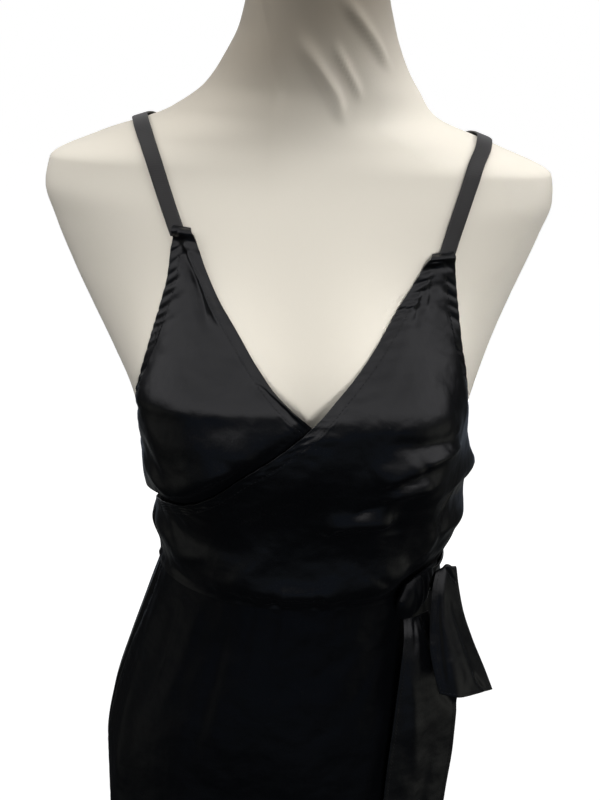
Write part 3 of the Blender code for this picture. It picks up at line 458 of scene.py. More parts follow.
LONG_END = (
    (0.0930, -0.0830, -0.0139, 0.1020, -0.0790, -0.0139, 0.1150, -0.0670, -0.0139),
    (0.0935, -0.0900, -0.0300, 0.1060, -0.0870, -0.0300, 0.1235, -0.0680, -0.0300),
    (0.0920, -0.0955, -0.0600, 0.1090, -0.0920, -0.0600, 0.1370, -0.0675, -0.0600),
    (0.0895, -0.0995, -0.1050, 0.1110, -0.0930, -0.1050, 0.1475, -0.0645, -0.1050),
    (0.0870, -0.1015, -0.1500, 0.1090, -0.0930, -0.1500, 0.1480, -0.0635, -0.1500),
    (0.0855, -0.1025, -0.2050, 0.1070, -0.0930, -0.2050, 0.1445, -0.0655, -0.2050),
    (0.0840, -0.1050, -0.3000, 0.1060, -0.0960, -0.3000, 0.1410, -0.0690, -0.3000),
    (0.0850, -0.1105, -0.4200, 0.1080, -0.1010, -0.4200, 0.1430, -0.0755, -0.4200),
)
# Place of the fold as a share of the width, how round it is, the ends' gap to the skirt, and
# the scale that makes a place into the way that the ends face
FOLD_SHARE = {"tie_end_short": 0.34, "tie_end_long": 0.36}
FOLD_ROUND = 0.10
END_CLEAR = 0.0024
END_FACING = (1, 3, 0)
# Distances from the ends' edges: their stitch line and half its dent's width, and those over
# which the hem's rise and its doubled cloth end
END_STITCH = 0.0036
END_DENT_HALF = 0.0006
END_HEM_FALL = (0.0035, 0.0048)
END_DOUBLED_FALL = (0.0035, 0.0045)
# Creases of the ends and of the band: place across and along at the start and at the end,
# each from 0 to 1, half width in metres, rise
SHORT_CREASES = (
    (0.36, 0.30, 0.92, 0.42, 0.0018, -0.0030),
    (0.30, 0.24, 0.80, 0.34, 0.0030, 0.0014),
    (0.22, 0.50, 0.12, 0.92, 0.0040, -0.0018),
    (0.72, 0.86, 0.84, 0.99, 0.0022, -0.0020),
    (0.56, 0.55, 0.66, 0.92, 0.0045, 0.0012),
)
LONG_CREASES = (
    (0.52, 0.00, 0.56, 0.24, 0.0040, 0.0012),
    (0.66, 0.02, 0.72, 0.26, 0.0036, -0.0012),
    (0.34, 0.02, 0.26, 0.22, 0.0040, -0.0010),
    (0.70, 0.36, 0.98, 0.44, 0.0050, -0.0022),
    (0.20, 0.30, 0.44, 0.60, 0.0070, 0.0020),
    (0.62, 0.56, 0.56, 0.94, 0.0070, -0.0020),
)
BAND_CREASES = (
    (0.00, 0.30, 1.00, 0.42, 0.0030, -0.0010),
    (0.05, 0.66, 0.92, 0.60, 0.0026, -0.0009),
    (0.20, 0.50, 0.75, 0.78, 0.0030, 0.0010),
    (0.55, 0.20, 1.00, 0.30, 0.0026, 0.0009),
    (0.00, 0.84, 0.40, 0.70, 0.0030, 0.0009),
)

# -------------------- sewing
# Puckers along an edge: spacing, depth at the strap, depth at the far end, slant, fade
NECK_PUCKER = (0.0080, 0.0024, 0.0011, 0.9, 1.3)
NECK_PUCKER_RIGHT = (0.0100, 0.0005, 0.0003, 0.9, 1.5)
ARM_PUCKER = (0.0105, 0.0014, 0.0005, 0.8, 1.5)
ARM_PUCKER_RIGHT = (0.0085, 0.0017, 0.0008, 0.9, 1.5)
BACK_PUCKER = (0.0100, 0.0005, 0.0005, 0.6, 1.0)
HEM_PUCKER = (0.0140, 0.0004, 0.0004, 0.5, 1.0)
# Unevenness of their depth, as a share and two waves in radians a metre and their start, and
# of their spacing, as waves in radians, radians a metre and start
PUCKER_UNEVEN = 0.45
PUCKER_SWELLS = ((83, 1.3), (190, 0.4))
PUCKER_WOBBLE = ((1.1, 61, 0.7), (0.8, 143, 2.1))
# How far the puckers spill past the hem, as a share of their depth
PUCKER_SPILL = 0.3
# Middle and half width of the puckers and of their spill, as shares of the hem's width
PUCKER_BAND = (0.42, 0.48)
SPILL_BAND = (1.3, 0.9)
# A hem's rise, its stitch line's dent, and that line's place as a share of the hem's width
HEM_LIFT = 0.0002
STITCH_DENT = 0.00012
STITCH_DENT_HALF = 0.0010
STITCH_SHARE = 0.82
# Shares of the hem's width over which its rise and its doubled cloth end
HEM_FALL = (0.92, 1.15)
DOUBLED_FALL = (0.9, 1.1)
# Doubled cloth as a multiple of the single cloth
DOUBLED = 1.9
# Where stitches start past a free edge's start and where they end, as stations of a front;
# rows of the skirt fronts and columns of the ends that have them; the part of an end's rows that
# has none at the knot, and its plain rows at the foot; the shortest stitch, as a share; and how
# proud of the cloth a thread lies, as a share of its half thickness
STITCH_START = 0.04
STITCH_END = 0.955
SKIRT_STITCH_ROWS = slice(3, -8)
END_STITCH_COLUMNS = slice(3, -3)
END_PLAIN_PART = 1 / 5
END_PLAIN_ROWS = 4
STITCH_SHORTEST = 0.2
STITCH_PROUD = 0.35
# A sewn seam's valley
SEAM_DENT = 0.0007
SEAM_HALF = 0.0014
# Gathers at the waist seam: depth and reach on the bodice and on the skirt, and their start
BODICE_GATHER = (0.0009, 0.030)
SKIRT_GATHER = (0.0004, 0.060)
GATHER_START = 0.006
# Middle and half width of the gathers as shares of their reach; the waves that make them, in the
# columns of the skirt's waves; and the slower wave that thins them out in patches
GATHER_BAND = (0.3, 0.6)
GATHER_WAVES = ((23, 40, 1.0), (37, 10, 0.8), (61, 170, 0.6))
GATHER_PATCH = (3.7, 80)
# How far the armhole's edge rolls in, the least share of that near the strap, and the stations
# over which it falls to it
ARM_ROLL = 0.0055
ARM_ROLL_SPREAD = 0.0085
ARM_ROLL_LEAST = 0.35
ARM_ROLL_FALL = (0.55, 0.85)
# The same for the neckline's edge, which rolls in only towards the strap
NECK_ROLL = 0.0030
NECK_ROLL_SPREAD = 0.0052
NECK_ROLL_RISE = (0.66, 0.80)
# The cup's end at the strap: a roll, a hollow under it and a curl over its rim
TIP_ROLL = 0.0030
TIP_PLACE = 0.0044
TIP_SPREAD = 0.0034
TIP_HOLLOW = 0.0018
TIP_HOLLOW_PLACE = 2.5 * TIP_PLACE
TIP_HOLLOW_SPREAD = 0.7 * TIP_SPREAD
# Shares of the width over which the hollow grows, on the wearer's left and right
LEFT_HOLLOW = (0.15, 0.75)
RIGHT_HOLLOW = (0.85, 0.25)
TIP_CURL = 0.0020
TIP_CURL_HALF = 0.0012
# Distances from that end over which the hems' relief grows less, and by which share
TIP_CALM = (0.014, 0.020)
TIP_CALM_SHARE = 0.6
# Depth that relief may reach inwards over the strap, and how it grows away from it
TIP_ROOM = 0.0024
TIP_ROOM_END = 0.0300

# Grids of the cloth: columns, rows, and how closely they crowd at the edges both ways
FRONT_GRID = (150, 225, 0.6, 0.8)
BACK_GRID = (190, 70, 0.5, 0.8)
SKIRT_GRIDS = {
    "skirt_front_over": (150, 210, 0.5, 0.8),
    "skirt_front_under": (130, 210, 0.5, 0.8),
    "skirt_back": (150, 210, 0.5, 0.8),
}
STRAP_GRID = (10, 180)
BAND_GRID = (260, 26)
KNOT_GRID = (120, 90)
END_GRIDS = {"tie_end_short": (48, 120, 0.5, 0.5), "tie_end_long": (40, 200, 0.5, 0.5)}

# -------------------- the camera and the lights
# Distance in front of the form's middle, height, tilt down and roll in degrees, focal length in
# millimetres, and the nearest and furthest depth
CAMERA_BACK = 0.858
CAMERA_ABOVE_WAIST = 0.452
CAMERA_TILT = 19.6
CAMERA_ROLL = 2.2
CAMERA_LENS = 47.925
CAMERA_CLIP = (0.05, 300)

# Soft lights: name, setting of its power and share of it, size, place, height aimed at, spread
LAMPS = (
    ("overhead", "key", 1.00, (2.2, 1.5), (0.0, 0.0, 2.9), 1.30, 180),
    ("top", "key", 0.50, (0.6, 0.6), (0.0, -0.2, 3.0), 1.30, 180),
    ("high_right", "side", 1.00, (1.4, 1.4), (1.6, -0.2, 2.5), 1.30, 180),
    ("high_left", "side", 0.85, (1.4, 1.4), (-1.6, -0.2, 2.5), 1.30, 180),
    ("front", "fill", 1.00, (0.7, 0.7), (0.3, -2.6, 1.2), 0.98, 30),
    ("back", "fill", 11.0, (2.0, 2.0), (-0.4, 2.8, 1.5), 1.10, 180),
)

# Surroundings that the satin mirrors. Each pair is a span of the upward, sideways or backward
# share of a direction: the first value gives none of the effect, the second all of it.
SKY_TINT = (0.98, 0.97, 1.0, 1)
SKY_RISE = (-0.04, 0.42)
SKY_FALL = (0.45, 1.00)
SKY_LOSS = 0.42
# Behind the dress the sky reaches lower down, and between front and back all is dimmer
BEHIND = (0.62, 0.90)
BEHIND_LOWER = 0.24
BESIDE = (0.05, 0.50)
BESIDE_LOSS = 0.9
# Low light at both sides, stronger at the wearer's left
FLANK_TINT = (1.0, 1.0, 0.90, 1)
FLANK_SIDES = (0.45, 0.95)
FLANK_DROP = (-0.02, -0.30)
FLANK_END = (-0.46, -0.66)
FLANK_LOSS = 0.6
FLANK_MORE = 0.9
# Faint light from the ground in front, blue above and grey below
GROUND_TINT = (0.30, 0.52, 1.0, 1)
GROUND_LOW_TINT = (0.46, 0.50, 0.52, 1)
GROUND_PALE = (-0.33, -0.47)
GROUND_DROP = (-0.15, -0.32)
GROUND_END = (-0.54, -0.74)
GROUND_LOSS = 0.94
GROUND_SIDES = (0.30, 0.70)

# -------------------- finishes
# Shine of the bodice's satin, and of a copy with less shine on the skirt and the knot: painted
# # shade, as that copy stands in for the shadow that they hang in
SATIN_SHINE = {"black_satin": 0.48, "quiet_satin": 0.18}
# Painted shade at the neck: the cover's base colour darkens there, standing in for the shadow on
# it.
# Heights over which it grows, how far it slants up to the wearer's left and where that begins, and
# its shares of red, green and blue
NECK_PAINTED_SHADE = (WAIST + 0.335, WAIST + 0.458)
NECK_SLANT = 0.6
NECK_SLANT_START = -0.03
NECK_SHADE_SHARES = (0.42, 0.393, 0.361)
# The floor's glow near the dress and far away, the distances between, and the floor's sides
FLOOR_NEAR = 0.92
FLOOR_FAR = 1 / 0.9
FLOOR_FADE = (0.5, 2.4)
FLOOR_SEGMENTS = 96

# Each sheet of cloth that is built: its object, points, normals and distances from its edges
sheets = {}


class DressSizes(bpy.types.PropertyGroup):
    """Sizes of the cloth and its sewing."""
    cloth: bpy.props.FloatProperty(
        name="Cloth", description="Thickness of one layer of satin", default=0.0007,
        min=0.0003, max=0.0014, precision=4, unit="LENGTH")
    hem: bpy.props.FloatProperty(
        name="Edge hem", description="Width of the turned hem on necklines and armholes",
        default=0.0095, min=0.004, max=0.02, precision=4, unit="LENGTH")
    skirt_hem: bpy.props.FloatProperty(
        name="Skirt hem", description="Width of the turned hem at the skirt's foot",
        default=0.018, min=0.006, max=0.05, precision=4, unit="LENGTH")
    stitch: bpy.props.FloatProperty(
        name="Stitch", description="Length of one stitch that shows", default=0.0025,
        min=0.001, max=0.006, precision=4, unit="LENGTH")
    stitch_gap: bpy.props.FloatProperty(
        name="Stitch gap", description="Space between two stitches", default=0.0009,
        min=0.0003, max=0.004, precision=4, unit="LENGTH")
    thread: bpy.props.FloatProperty(
        name="Thread", description="Half the thickness of the thread", default=0.00022,
        min=0.0001, max=0.0008, precision=5, unit="LENGTH")
    strap_width: bpy.props.FloatProperty(
        name="Strap width", description="Width of the straps", default=0.012,
        min=0.006, max=0.03, precision=4, unit="LENGTH")
    strap_thick: bpy.props.FloatProperty(
        name="Strap thickness", description="Thickness of the straps", default=0.0011,
        min=0.0005, max=0.003, precision=4, unit="LENGTH")


class DressColours(bpy.types.PropertyGroup):
    """Colours of the finishes."""
    satin: bpy.props.FloatVectorProperty(
        name="Satin", description="Colour of the satin", subtype="COLOR", size=3,
        min=0, max=1, default=(0.0013, 0.0015, 0.0020))
    strap: bpy.props.FloatVectorProperty(
        name="Strap", description="Colour of the straps", subtype="COLOR", size=3,
        min=0, max=1, default=(0.022, 0.0212, 0.0212))
    cover: bpy.props.FloatVectorProperty(
        name="Cover", description="Colour of the form's cover", subtype="COLOR", size=3,
        min=0, max=1, default=(0.755, 0.708, 0.618))
    board: bpy.props.FloatVectorProperty(
        name="Board", description="Colour of the board under the form", subtype="COLOR", size=3,
        min=0, max=1, default=(0.32, 0.21, 0.12))
    steel: bpy.props.FloatVectorProperty(
        name="Steel", description="Colour of the stand", subtype="COLOR", size=3,
        min=0, max=1, default=(0.56, 0.56, 0.55))
    floor: bpy.props.FloatVectorProperty(
        name="Floor", description="Colour of the studio floor", subtype="COLOR", size=3,
        min=0, max=1, default=(0.90, 0.90, 0.90))


class StudioSizes(bpy.types.PropertyGroup):
    """Sizes and strengths of the studio."""
    floor_radius: bpy.props.FloatProperty(
        name="Floor", description="Radius of the floor", default=60.0, min=3, max=200,
        unit="LENGTH")
    key: bpy.props.FloatProperty(
        name="Key light", description="Power of the soft light overhead, in watts",
        default=16.5, min=0, max=500)
    side: bpy.props.FloatProperty(
        name="Side lights", description="Power of each soft light at the sides, in watts",
        default=24.0, min=0, max=500)
    fill: bpy.props.FloatProperty(
        name="Fill light", description="Power of the soft lights in front and behind, in watts",
        default=1.9, min=0, max=500)
    sky: bpy.props.FloatProperty(
        name="Sky", description="Brightness of the surroundings above", default=1.05,
        min=0, max=5)
    flank: bpy.props.FloatProperty(
        name="Flanks", description="Brightness of the surroundings at both sides",
        default=0.15, min=0, max=5)
    ground: bpy.props.FloatProperty(
        name="Ground", description="Brightness of the surroundings below", default=0.21,
        min=0, max=5)
    backdrop: bpy.props.FloatProperty(
        name="Backdrop", description="Brightness of the plain pale backdrop", default=1.0,
        min=0, max=1)


# -------------------- tables and soft steps
class Table:
    """A table's columns, read between its rows on smooth curves that never overshoot."""

    def __init__(self, rows):
        rows = np.array(sorted(rows), float)
        self.places = rows[:, 0]
        self.values = rows[:, 1:]
        rise = np.diff(self.values, axis=0) / np.diff(self.places)[:, None]
        product = rise[:-1] * rise[1:]
        inner = np.divide(2 * product, rise[:-1] + rise[1:], out=np.zeros_like(product),
                          where=product > 0)
        self.slopes = np.vstack((rise[:1], inner, rise[-1:]))

    def at(self, place):
        """The columns' values at a place, in a last axis of their own."""
        place = np.clip(place, self.places[0], self.places[-1])
        low = np.searchsorted(self.places, place, side="right") - 1
        low = np.clip(low, 0, len(self.places) - 2)
        span = (self.places[low + 1] - self.places[low])[..., None]
        part = (place - self.places[low])[..., None] / span
        return ((2 * part ** 3 - 3 * part ** 2 + 1) * self.values[low]
                + (part ** 3 - 2 * part ** 2 + part) * self.slopes[low] * span
                + (3 * part ** 2 - 2 * part ** 3) * self.values[low + 1]
                + (part ** 3 - part ** 2) * self.slopes[low + 1] * span)


def soft(value, start, end):
    """0 before start, 1 after end, and soft between."""
    part = np.clip((value - start) / (end - start), 0, 1)
    return part * part * (3 - 2 * part)


def bump(distance, spread):
    """1 in the middle, falling softly to 0 past the spread."""
    return np.exp(-(distance / spread) ** 2)


def band(distance, width, shares):
    """A bump whose middle and half width are shares of a width."""
    middle, half = shares
    return bump(distance - middle * width, half * width)


def crease_taper(inside):
    """A crease's share of its rise: 1 in the middle of its line, less at both ends."""
    return 1 - 0.7 * (2 * inside - 1) ** 4


def turn_apart(angle, other):
    """Smallest turn from one angle to another, in degrees."""
    return (angle - other + 180) % 360 - 180


def waves(angle, table):
    """Sum of a table's waves round the dress: count, turn in degrees, share."""
    return sum(share * np.sin(np.radians(count * angle + turn)) for count, turn, share in table)


def unit(vectors):
    """The vectors at a length of 1."""
    return vectors / np.maximum(np.linalg.norm(vectors, axis=-1, keepdims=True), 1e-12)


form_table = Table(FORM_SECTIONS)
skirt_table = Table(SKIRT_SECTIONS)
ease_table = Table(BODICE_EASE)
swell_table = Table(ROLL_SWELL)
crossing_table = Table([row[1:] for row in OVER_EDGE if row[0] >= CROSS_START])


# -------------------- the shapes of form and dress
def section_radius(section, angle):
    """Radius of a rounded section that has its own front and back depth."""
    turn = np.radians(angle)
    depth = np.where(np.sin(turn) < 0, section[..., 1], section[..., 2])
    squareness = section[..., 3]
    across = np.abs(np.cos(turn)) / section[..., 0]
    along = np.abs(np.sin(turn)) / depth
    return (across ** squareness + along ** squareness) ** (-1 / squareness)


def fullness(angle, height, below):
    """How far the chest stands out of the plain section."""
    upright = bump(height - BUST_HEIGHT, np.where(height > BUST_HEIGHT, BUST_ABOVE, below))
    sides = sum(bump(turn_apart(angle, -90 + side * BUST_ANGLE), BUST_SPREAD) for side in (-1, 1))
    return BUST_DEPTH * upright * sides


def creases(table, angle, height):
    """Rise of the listed creases: each soft along its line and fading past its ends."""
    total = np.zeros(np.broadcast(angle, height).shape)
    for from_angle, from_height, to_angle, to_height, bow, left, right, rise in table:
        line_x = math.radians(turn_apart(to_angle, from_angle)) * MEAN_RADIUS
        line_y = to_height - from_height
        length = math.hypot(line_x, line_y)
        point_x = np.radians(turn_apart(angle, from_angle)) * MEAN_RADIUS
        point_y = height - from_height
        along = (point_x * line_x + point_y * line_y) / length ** 2
        inside = np.clip(along, 0, 1)
        away = (point_y * line_x - point_x * line_y) / length
        away = away - bow * 4 * inside * (1 - inside)
        width = np.where(away > 0, left, right)
        past = (along - inside) * length
        total += rise * crease_taper(inside) * bump(away, width) * bump(
            past, 2 * min(left, right))
    return total


def form_radius(angle, height):
    """Outer side of the form's cover."""
    radius = section_radius(form_table.at(height), angle) + fullness(angle, height, BUST_BELOW)
    return radius + creases(NECK_CREASES, angle, height)


def round_ease(height, angle):
    """Ease at an angle, blended from its front, left, right and back values."""
    ease = ease_table.at(height)
    turn = np.radians(angle)
    side = np.where(np.cos(turn) > 0, ease[..., 1], ease[..., 2])
    end = np.where(np.sin(turn) < 0, ease[..., 0], ease[..., 3])
    return end * np.sin(turn) ** 2 + side * np.cos(turn) ** 2


def plain_bodice_radius(angle, height):
    """The bodice's filled shape before its creases."""
    radius = section_radius(form_table.at(height), angle) + fullness(angle, height, CLOTH_BELOW)
    radius = radius + BRIDGE_DEPTH * bump(turn_apart(angle, -90), BRIDGE_SPREAD) * bump(
        height - BRIDGE_HEIGHT, BRIDGE_RISE)
    radius = radius + round_ease(height, angle)
    seam = soft(height, 0.0, SEAM_SETTLE)
    swell = swell_table.at(angle)[..., 0] * bump(height - ROLL_HEIGHT, ROLL_SPREAD)
    dimple = DIMPLE_DEPTH * bump(turn_apart(angle, DIMPLE_ANGLE), DIMPLE_SPREAD) * bump(
        height - DIMPLE_HEIGHT, DIMPLE_RISE)
    return radius + seam * (swell - dimple)


def seam_fade(angle, height):
    """0 at the waist seam and the side seams, 1 away from them."""
    fade = soft(height, 0.0, SEAM_SETTLE)
    for seam in (0, 180):
        fade = fade * soft(np.abs(turn_apart(angle, seam)), 0, SEAM_FADE)
    return fade


def front_radius(angle, height):
    """Outer side of the front's top layer."""
    return plain_bodice_radius(angle, height) + seam_fade(angle, height) * creases(
        FRONT_CREASES, angle, height)


def back_radius(angle, height):
    """Outer side of the bodice's back."""
    return plain_bodice_radius(angle, height) + seam_fade(angle, height) * creases(
        BACK_CREASES, angle, height)


def shown_share(angle, height):
    """1 where the under layer shows, 0 where it lies under the top one."""
    above = height - crossing_table.at(angle)[..., 0]
    shown = soft(above, SHOW_START, SHOW_END) * soft(angle, *SHOW_TURN)
    side = np.abs(turn_apart(angle, 180))
    return np.maximum(shown, 1 - soft(side, SIDE_LAP, SIDE_LAP + LAP_TURN))


def under_radius(angle, height):
    """The under front's own form, with the puff that hangs over the crossing edge."""
    above = height - crossing_table.at(angle)[..., 0]
    puff = PUFF_DEPTH * bump(above - PUFF_PLACE,
                             np.where(above > PUFF_PLACE, PUFF_ABOVE, PUFF_BELOW))
    puff = puff * soft(angle, *PUFF_FRONT) * soft(angle, *PUFF_SIDE)
    own = puff + creases(CUP_CREASES, angle, height)
    return plain_bodice_radius(angle, height) + shown_share(angle, height) * own


def under_inset(angle, height):
    """How far the under front lies inside the top one."""
    room = FOLD_ROOM * soft(angle, *ROOM_TURN) * soft(height, 0.0, 1.5 * SEAM_SETTLE)
    return (LAYER_STEP + room) * (1 - shown_share(angle, height))


def plain_skirt_radius(angle, height):
    """The skirt's waves without its creases."""
    radius = section_radius(skirt_table.at(height), angle)
    growth = np.maximum(WAVE_START - height, 0) / (HEM_DROP + WAVE_START)
    return radius + WAVE_DEPTH * growth ** WAVE_GROWTH * waves(angle, SKIRT_WAVES)


def skirt_radius(angle, height):
    """Outer side of the skirt's top layer."""
    fade = soft(-height, 0.0, 0.5 * SEAM_SETTLE)
    return plain_skirt_radius(angle, height) + fade * creases(SKIRT_CREASES, angle, height)


def under_skirt_inset(angle, height):
    """How far the under skirt front lies inside the top one."""
    return LAYER_STEP * soft(angle, *UNDER_SKIRT_RISE)


def no_inset(angle, height):
    """A top layer lies at its own radius."""
    return np.zeros(np.broadcast(angle, height).shape)


def outward(angle):
    """Level direction out at an angle."""
    turn = np.radians(angle)
    return np.stack((np.cos(turn), np.sin(turn), 0 * turn), axis=-1)


def polar_points(middle, radius, angle, height):
    """Points at a radius about an upright line at a sideways place."""
    turn = np.radians(angle)
    parts = (middle + radius * np.cos(turn), radius * np.sin(turn), WAIST + height)
    return np.stack(np.broadcast_arrays(*parts), axis=-1)


def round_points(radius, sections, angle, height):
    """Points at a radius about the sections' own middle line."""
    return polar_points(sections.at(height)[..., -1], radius, angle, height)


def surface(radius_rule, inset_rule, sections, angle, height):
    """Points of a radial surface, moved in by the inset rule, and the way out at each."""
    def at(turned, raised):
        return round_points(radius_rule(turned, raised), sections, turned, raised)

    around = at(angle + SLOPE_TURN, height) - at(angle - SLOPE_TURN, height)
    upward = at(angle, height + SLOPE_RISE) - at(angle, height - SLOPE_RISE)
    normals = unit(np.cross(around, upward))
    return at(angle, height) - normals * inset_rule(angle, height)[..., None], normals


# -------------------- grids of cloth
def grid_places(columns, rows, across_crowd=0.0, along_crowd=0.0):
    """Places across and along a sheet from 0 to 1, crowded towards its edges."""
    def places(count, crowd):
        share = np.linspace(0, 1, count + 1)
        return share - crowd * np.sin(2 * np.pi * share) / (2 * np.pi)

    return np.meshgrid(places(columns, across_crowd), places(rows, along_crowd))


def way_out(points, hint):
    """Unit normals of a grid of points, on the side that the hint points to."""
    normals = unit(np.cross(np.gradient(points, axis=1), np.gradient(points, axis=0)))
    return normals * np.where((normals * hint).sum() < 0, -1, 1)


def line_length(points):
    """Length of a sheet's middle line, from its first row to its last."""
    middle = points[:, points.shape[1] // 2]
    return float(np.linalg.norm(np.diff(middle, axis=0), axis=-1).sum())


def edge_distance(points, edge):
    """Distance of each point from an edge line, and how far along it the nearest place is."""
    steps = np.linalg.norm(np.diff(edge, axis=0), axis=1)
    travel = np.concatenate(([0], np.cumsum(steps)))
    tangents = unit(np.gradient(edge, axis=0))
    flat = points.reshape(-1, 3)
    squared = (flat ** 2).sum(1)[:, None] + (edge ** 2).sum(1)[None] - 2 * flat @ edge.T
    nearest = squared.argmin(axis=1)
    offset = flat - edge[nearest]
    slide = (offset * tangents[nearest]).sum(1)
    away = np.linalg.norm(offset - slide[:, None] * tangents[nearest], axis=1)
    shape = points.shape[:2]
    return away.reshape(shape), (travel[nearest] + slide).reshape(shape)


def pucker_relief(distance, along, width, pucker, reach):
    """Uneven dents that the thread draws in along a hem, and their spill past it."""
    spacing, near_depth, far_depth, slant, fade = pucker
    share = np.clip(along / reach, 0, 1)
    depth = far_depth + (near_depth - far_depth) * share ** fade
    swell = np.prod([np.sin(along * rate + start) for rate, start in PUCKER_SWELLS], axis=0)
    depth = depth * (1 + PUCKER_UNEVEN * swell)
    wobble = sum(size * np.sin(along * rate + start) for size, rate, start in PUCKER_WOBBLE)
    phase = 2 * np.pi * (along - slant * distance) / spacing + wobble
    ridge = (0.5 + 0.5 * np.sin(phase)) ** 3
    broad = (0.5 + 0.5 * np.sin(phase * 0.5 + 0.6)) ** 2
    ripple = ridge * band(distance, width, PUCKER_BAND)
    spill = PUCKER_SPILL * broad * band(distance, width, SPILL_BAND)
    return -depth * (ripple + spill)


def hem_relief(distance, along, width, pucker, reach=1.0):
    """Turned cloth along an edge: raised, dented by its stitch line and puckered by the thread."""
    start, end = HEM_FALL
    raised = HEM_LIFT * (1 - soft(distance, start * width, end * width))
    dent = -STITCH_DENT * bump(distance - STITCH_SHARE * width, STITCH_DENT_HALF)
    return raised + dent + pucker_relief(distance, along, width, pucker, reach)


def doubled_share(distance, width):
    """1 on the turned cloth of a hem, 0 past it."""
    start, end = DOUBLED_FALL
    return 1 - soft(distance, start * width, end * width)


def seam_relief(distance):
    """A joined edge: a narrow valley where two pieces are sewn together."""
    return -SEAM_DENT * bump(distance, SEAM_HALF)


def gathers(angle, above, gather):
    """Uneven small gathers beside the waist seam."""
    depth, reach = gather
    count, turn = GATHER_PATCH
    patch = 0.5 + 0.5 * np.sin(np.radians(count * angle + turn))
    near = band(above, reach, GATHER_BAND) * soft(above, 0, GATHER_START)
    return depth * waves(angle, GATHER_WAVES) * patch * near


# -------------------- meshes
def grid_builder(points):
    """A bmesh grid whose vertices lie at a grid of points."""
    rows, columns = points.shape[0] - 1, points.shape[1] - 1
    builder = bmesh.new()
    bmesh.ops.create_grid(builder, x_segments=columns, y_segments=rows, size=0.5)
    builder.verts.ensure_lookup_table()
    for vert, point in zip(builder.verts, points.reshape(-1, 3), strict=True):
        vert.co = point
    return builder


def placed(name, builder, sharp_from=180):
    """Puts what was built into the scene, smooth up to an angle between its faces."""
    mesh = bpy.data.meshes.new(name)
    builder.to_mesh(mesh)
    builder.free()
    mesh.shade_smooth()
    if sharp_from < 180:
        mesh.set_sharp_from_angle(angle=math.radians(sharp_from))
    piece = bpy.data.objects.new(name, mesh)
    bpy.context.scene.collection.objects.link(piece)
    return piece


def finish_piece(piece, material, slot, *nodes):
    """Gives a piece its finish and its body, and hides the nodes that it replaces. The slot is not
    used.
    """
    piece.data.materials.clear()
    piece.data.materials.append(finish(material))
    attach(piece, "root")
    if nodes:
        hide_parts(*nodes)


def sheet_mesh(name, points, cut, hem_share):
    """A mesh of a grid of points, with its flat cut as UVs and its doubled edges as a group."""
    builder = grid_builder(points)
    pattern = cut.reshape(-1, 2)
    layer = builder.loops.layers.uv.new("cut")
    for face in builder.faces:
        for loop in face.loops:
            loop[layer].uv = pattern[loop.vert.index]
    piece = placed(name, builder)
    group = piece.vertex_groups.new(name="doubled")
    weights = np.round(hem_share.reshape(-1), 2)
    for weight in np.unique(weights):
        chosen = np.nonzero(weights == weight)[0].tolist()
        group.add(chosen, float(weight), "REPLACE")
    return piece


def turn_outward(piece, points, outward):
    """Turns the mesh's faces to the side that the grid's own normals point to."""
    mesh = piece.data
    face = mesh.polygons[len(mesh.polygons) // 2]
    here = np.array(mesh.vertices[face.vertices[0]].co[:])
    nearest = np.abs(points.reshape(-1, 3) - here).sum(1).argmin()
    if np.dot(np.array(face.normal), outward.reshape(-1, 3)[nearest]) < 0:
        mesh.flip_normals()


def thicken(piece, thickness, single_share):
    """Gives a sheet its thickness inwards: single cloth is a share of the doubled edges."""
    wall = piece.modifiers.new("wall", "SOLIDIFY")
    wall.thickness = thickness
    wall.offset = -1
    wall.use_rim = True
    wall.use_quality_normals = True
    wall.vertex_group = "doubled"
    wall.thickness_vertex_group = single_share


def lay_sheet(name, points, hint, cut, hem_share, material="black_satin", slot="dress_satin",
              wall=None, edges=()):
    """Makes one sheet of cloth, and keeps its points and edge distances for the sewing."""
    normals = way_out(points, hint)
    piece = sheet_mesh(name, points, cut, hem_share)
    turn_outward(piece, points, normals)
    thicken(piece, *(wall or (DOUBLED * bpy.context.scene.dress_sizes.cloth, 0.5)))
    finish_piece(piece, material, slot, name)
    sheets[name] = {"piece": piece, "points": points, "normals": normals, "edges": edges}


# -------------------- shader maths
def opaque(colour, factor):
    """A colour that is made lighter or darker, with its alpha."""
    return (*(part * factor for part in colour), 1)


class Signal:
    """A number in a material, so that shader maths reads as a formula."""

    def __init__(self, maker, socket):
        self.maker = maker
        self.socket = socket

    def __add__(self, other):
        return self.maker.math("ADD", self, other)

    __radd__ = __add__

    def __sub__(self, other):
        return self.maker.math("SUBTRACT", self, other)

    def __rsub__(self, other):
        return self.maker.math("SUBTRACT", other, self)

    def __mul__(self, other):
        return self.maker.math("MULTIPLY", self, other)

    def clamped(self):
        """The same number, kept between 0 and 1."""
        return self.maker.math("ADD", self, 0, clamp=True)


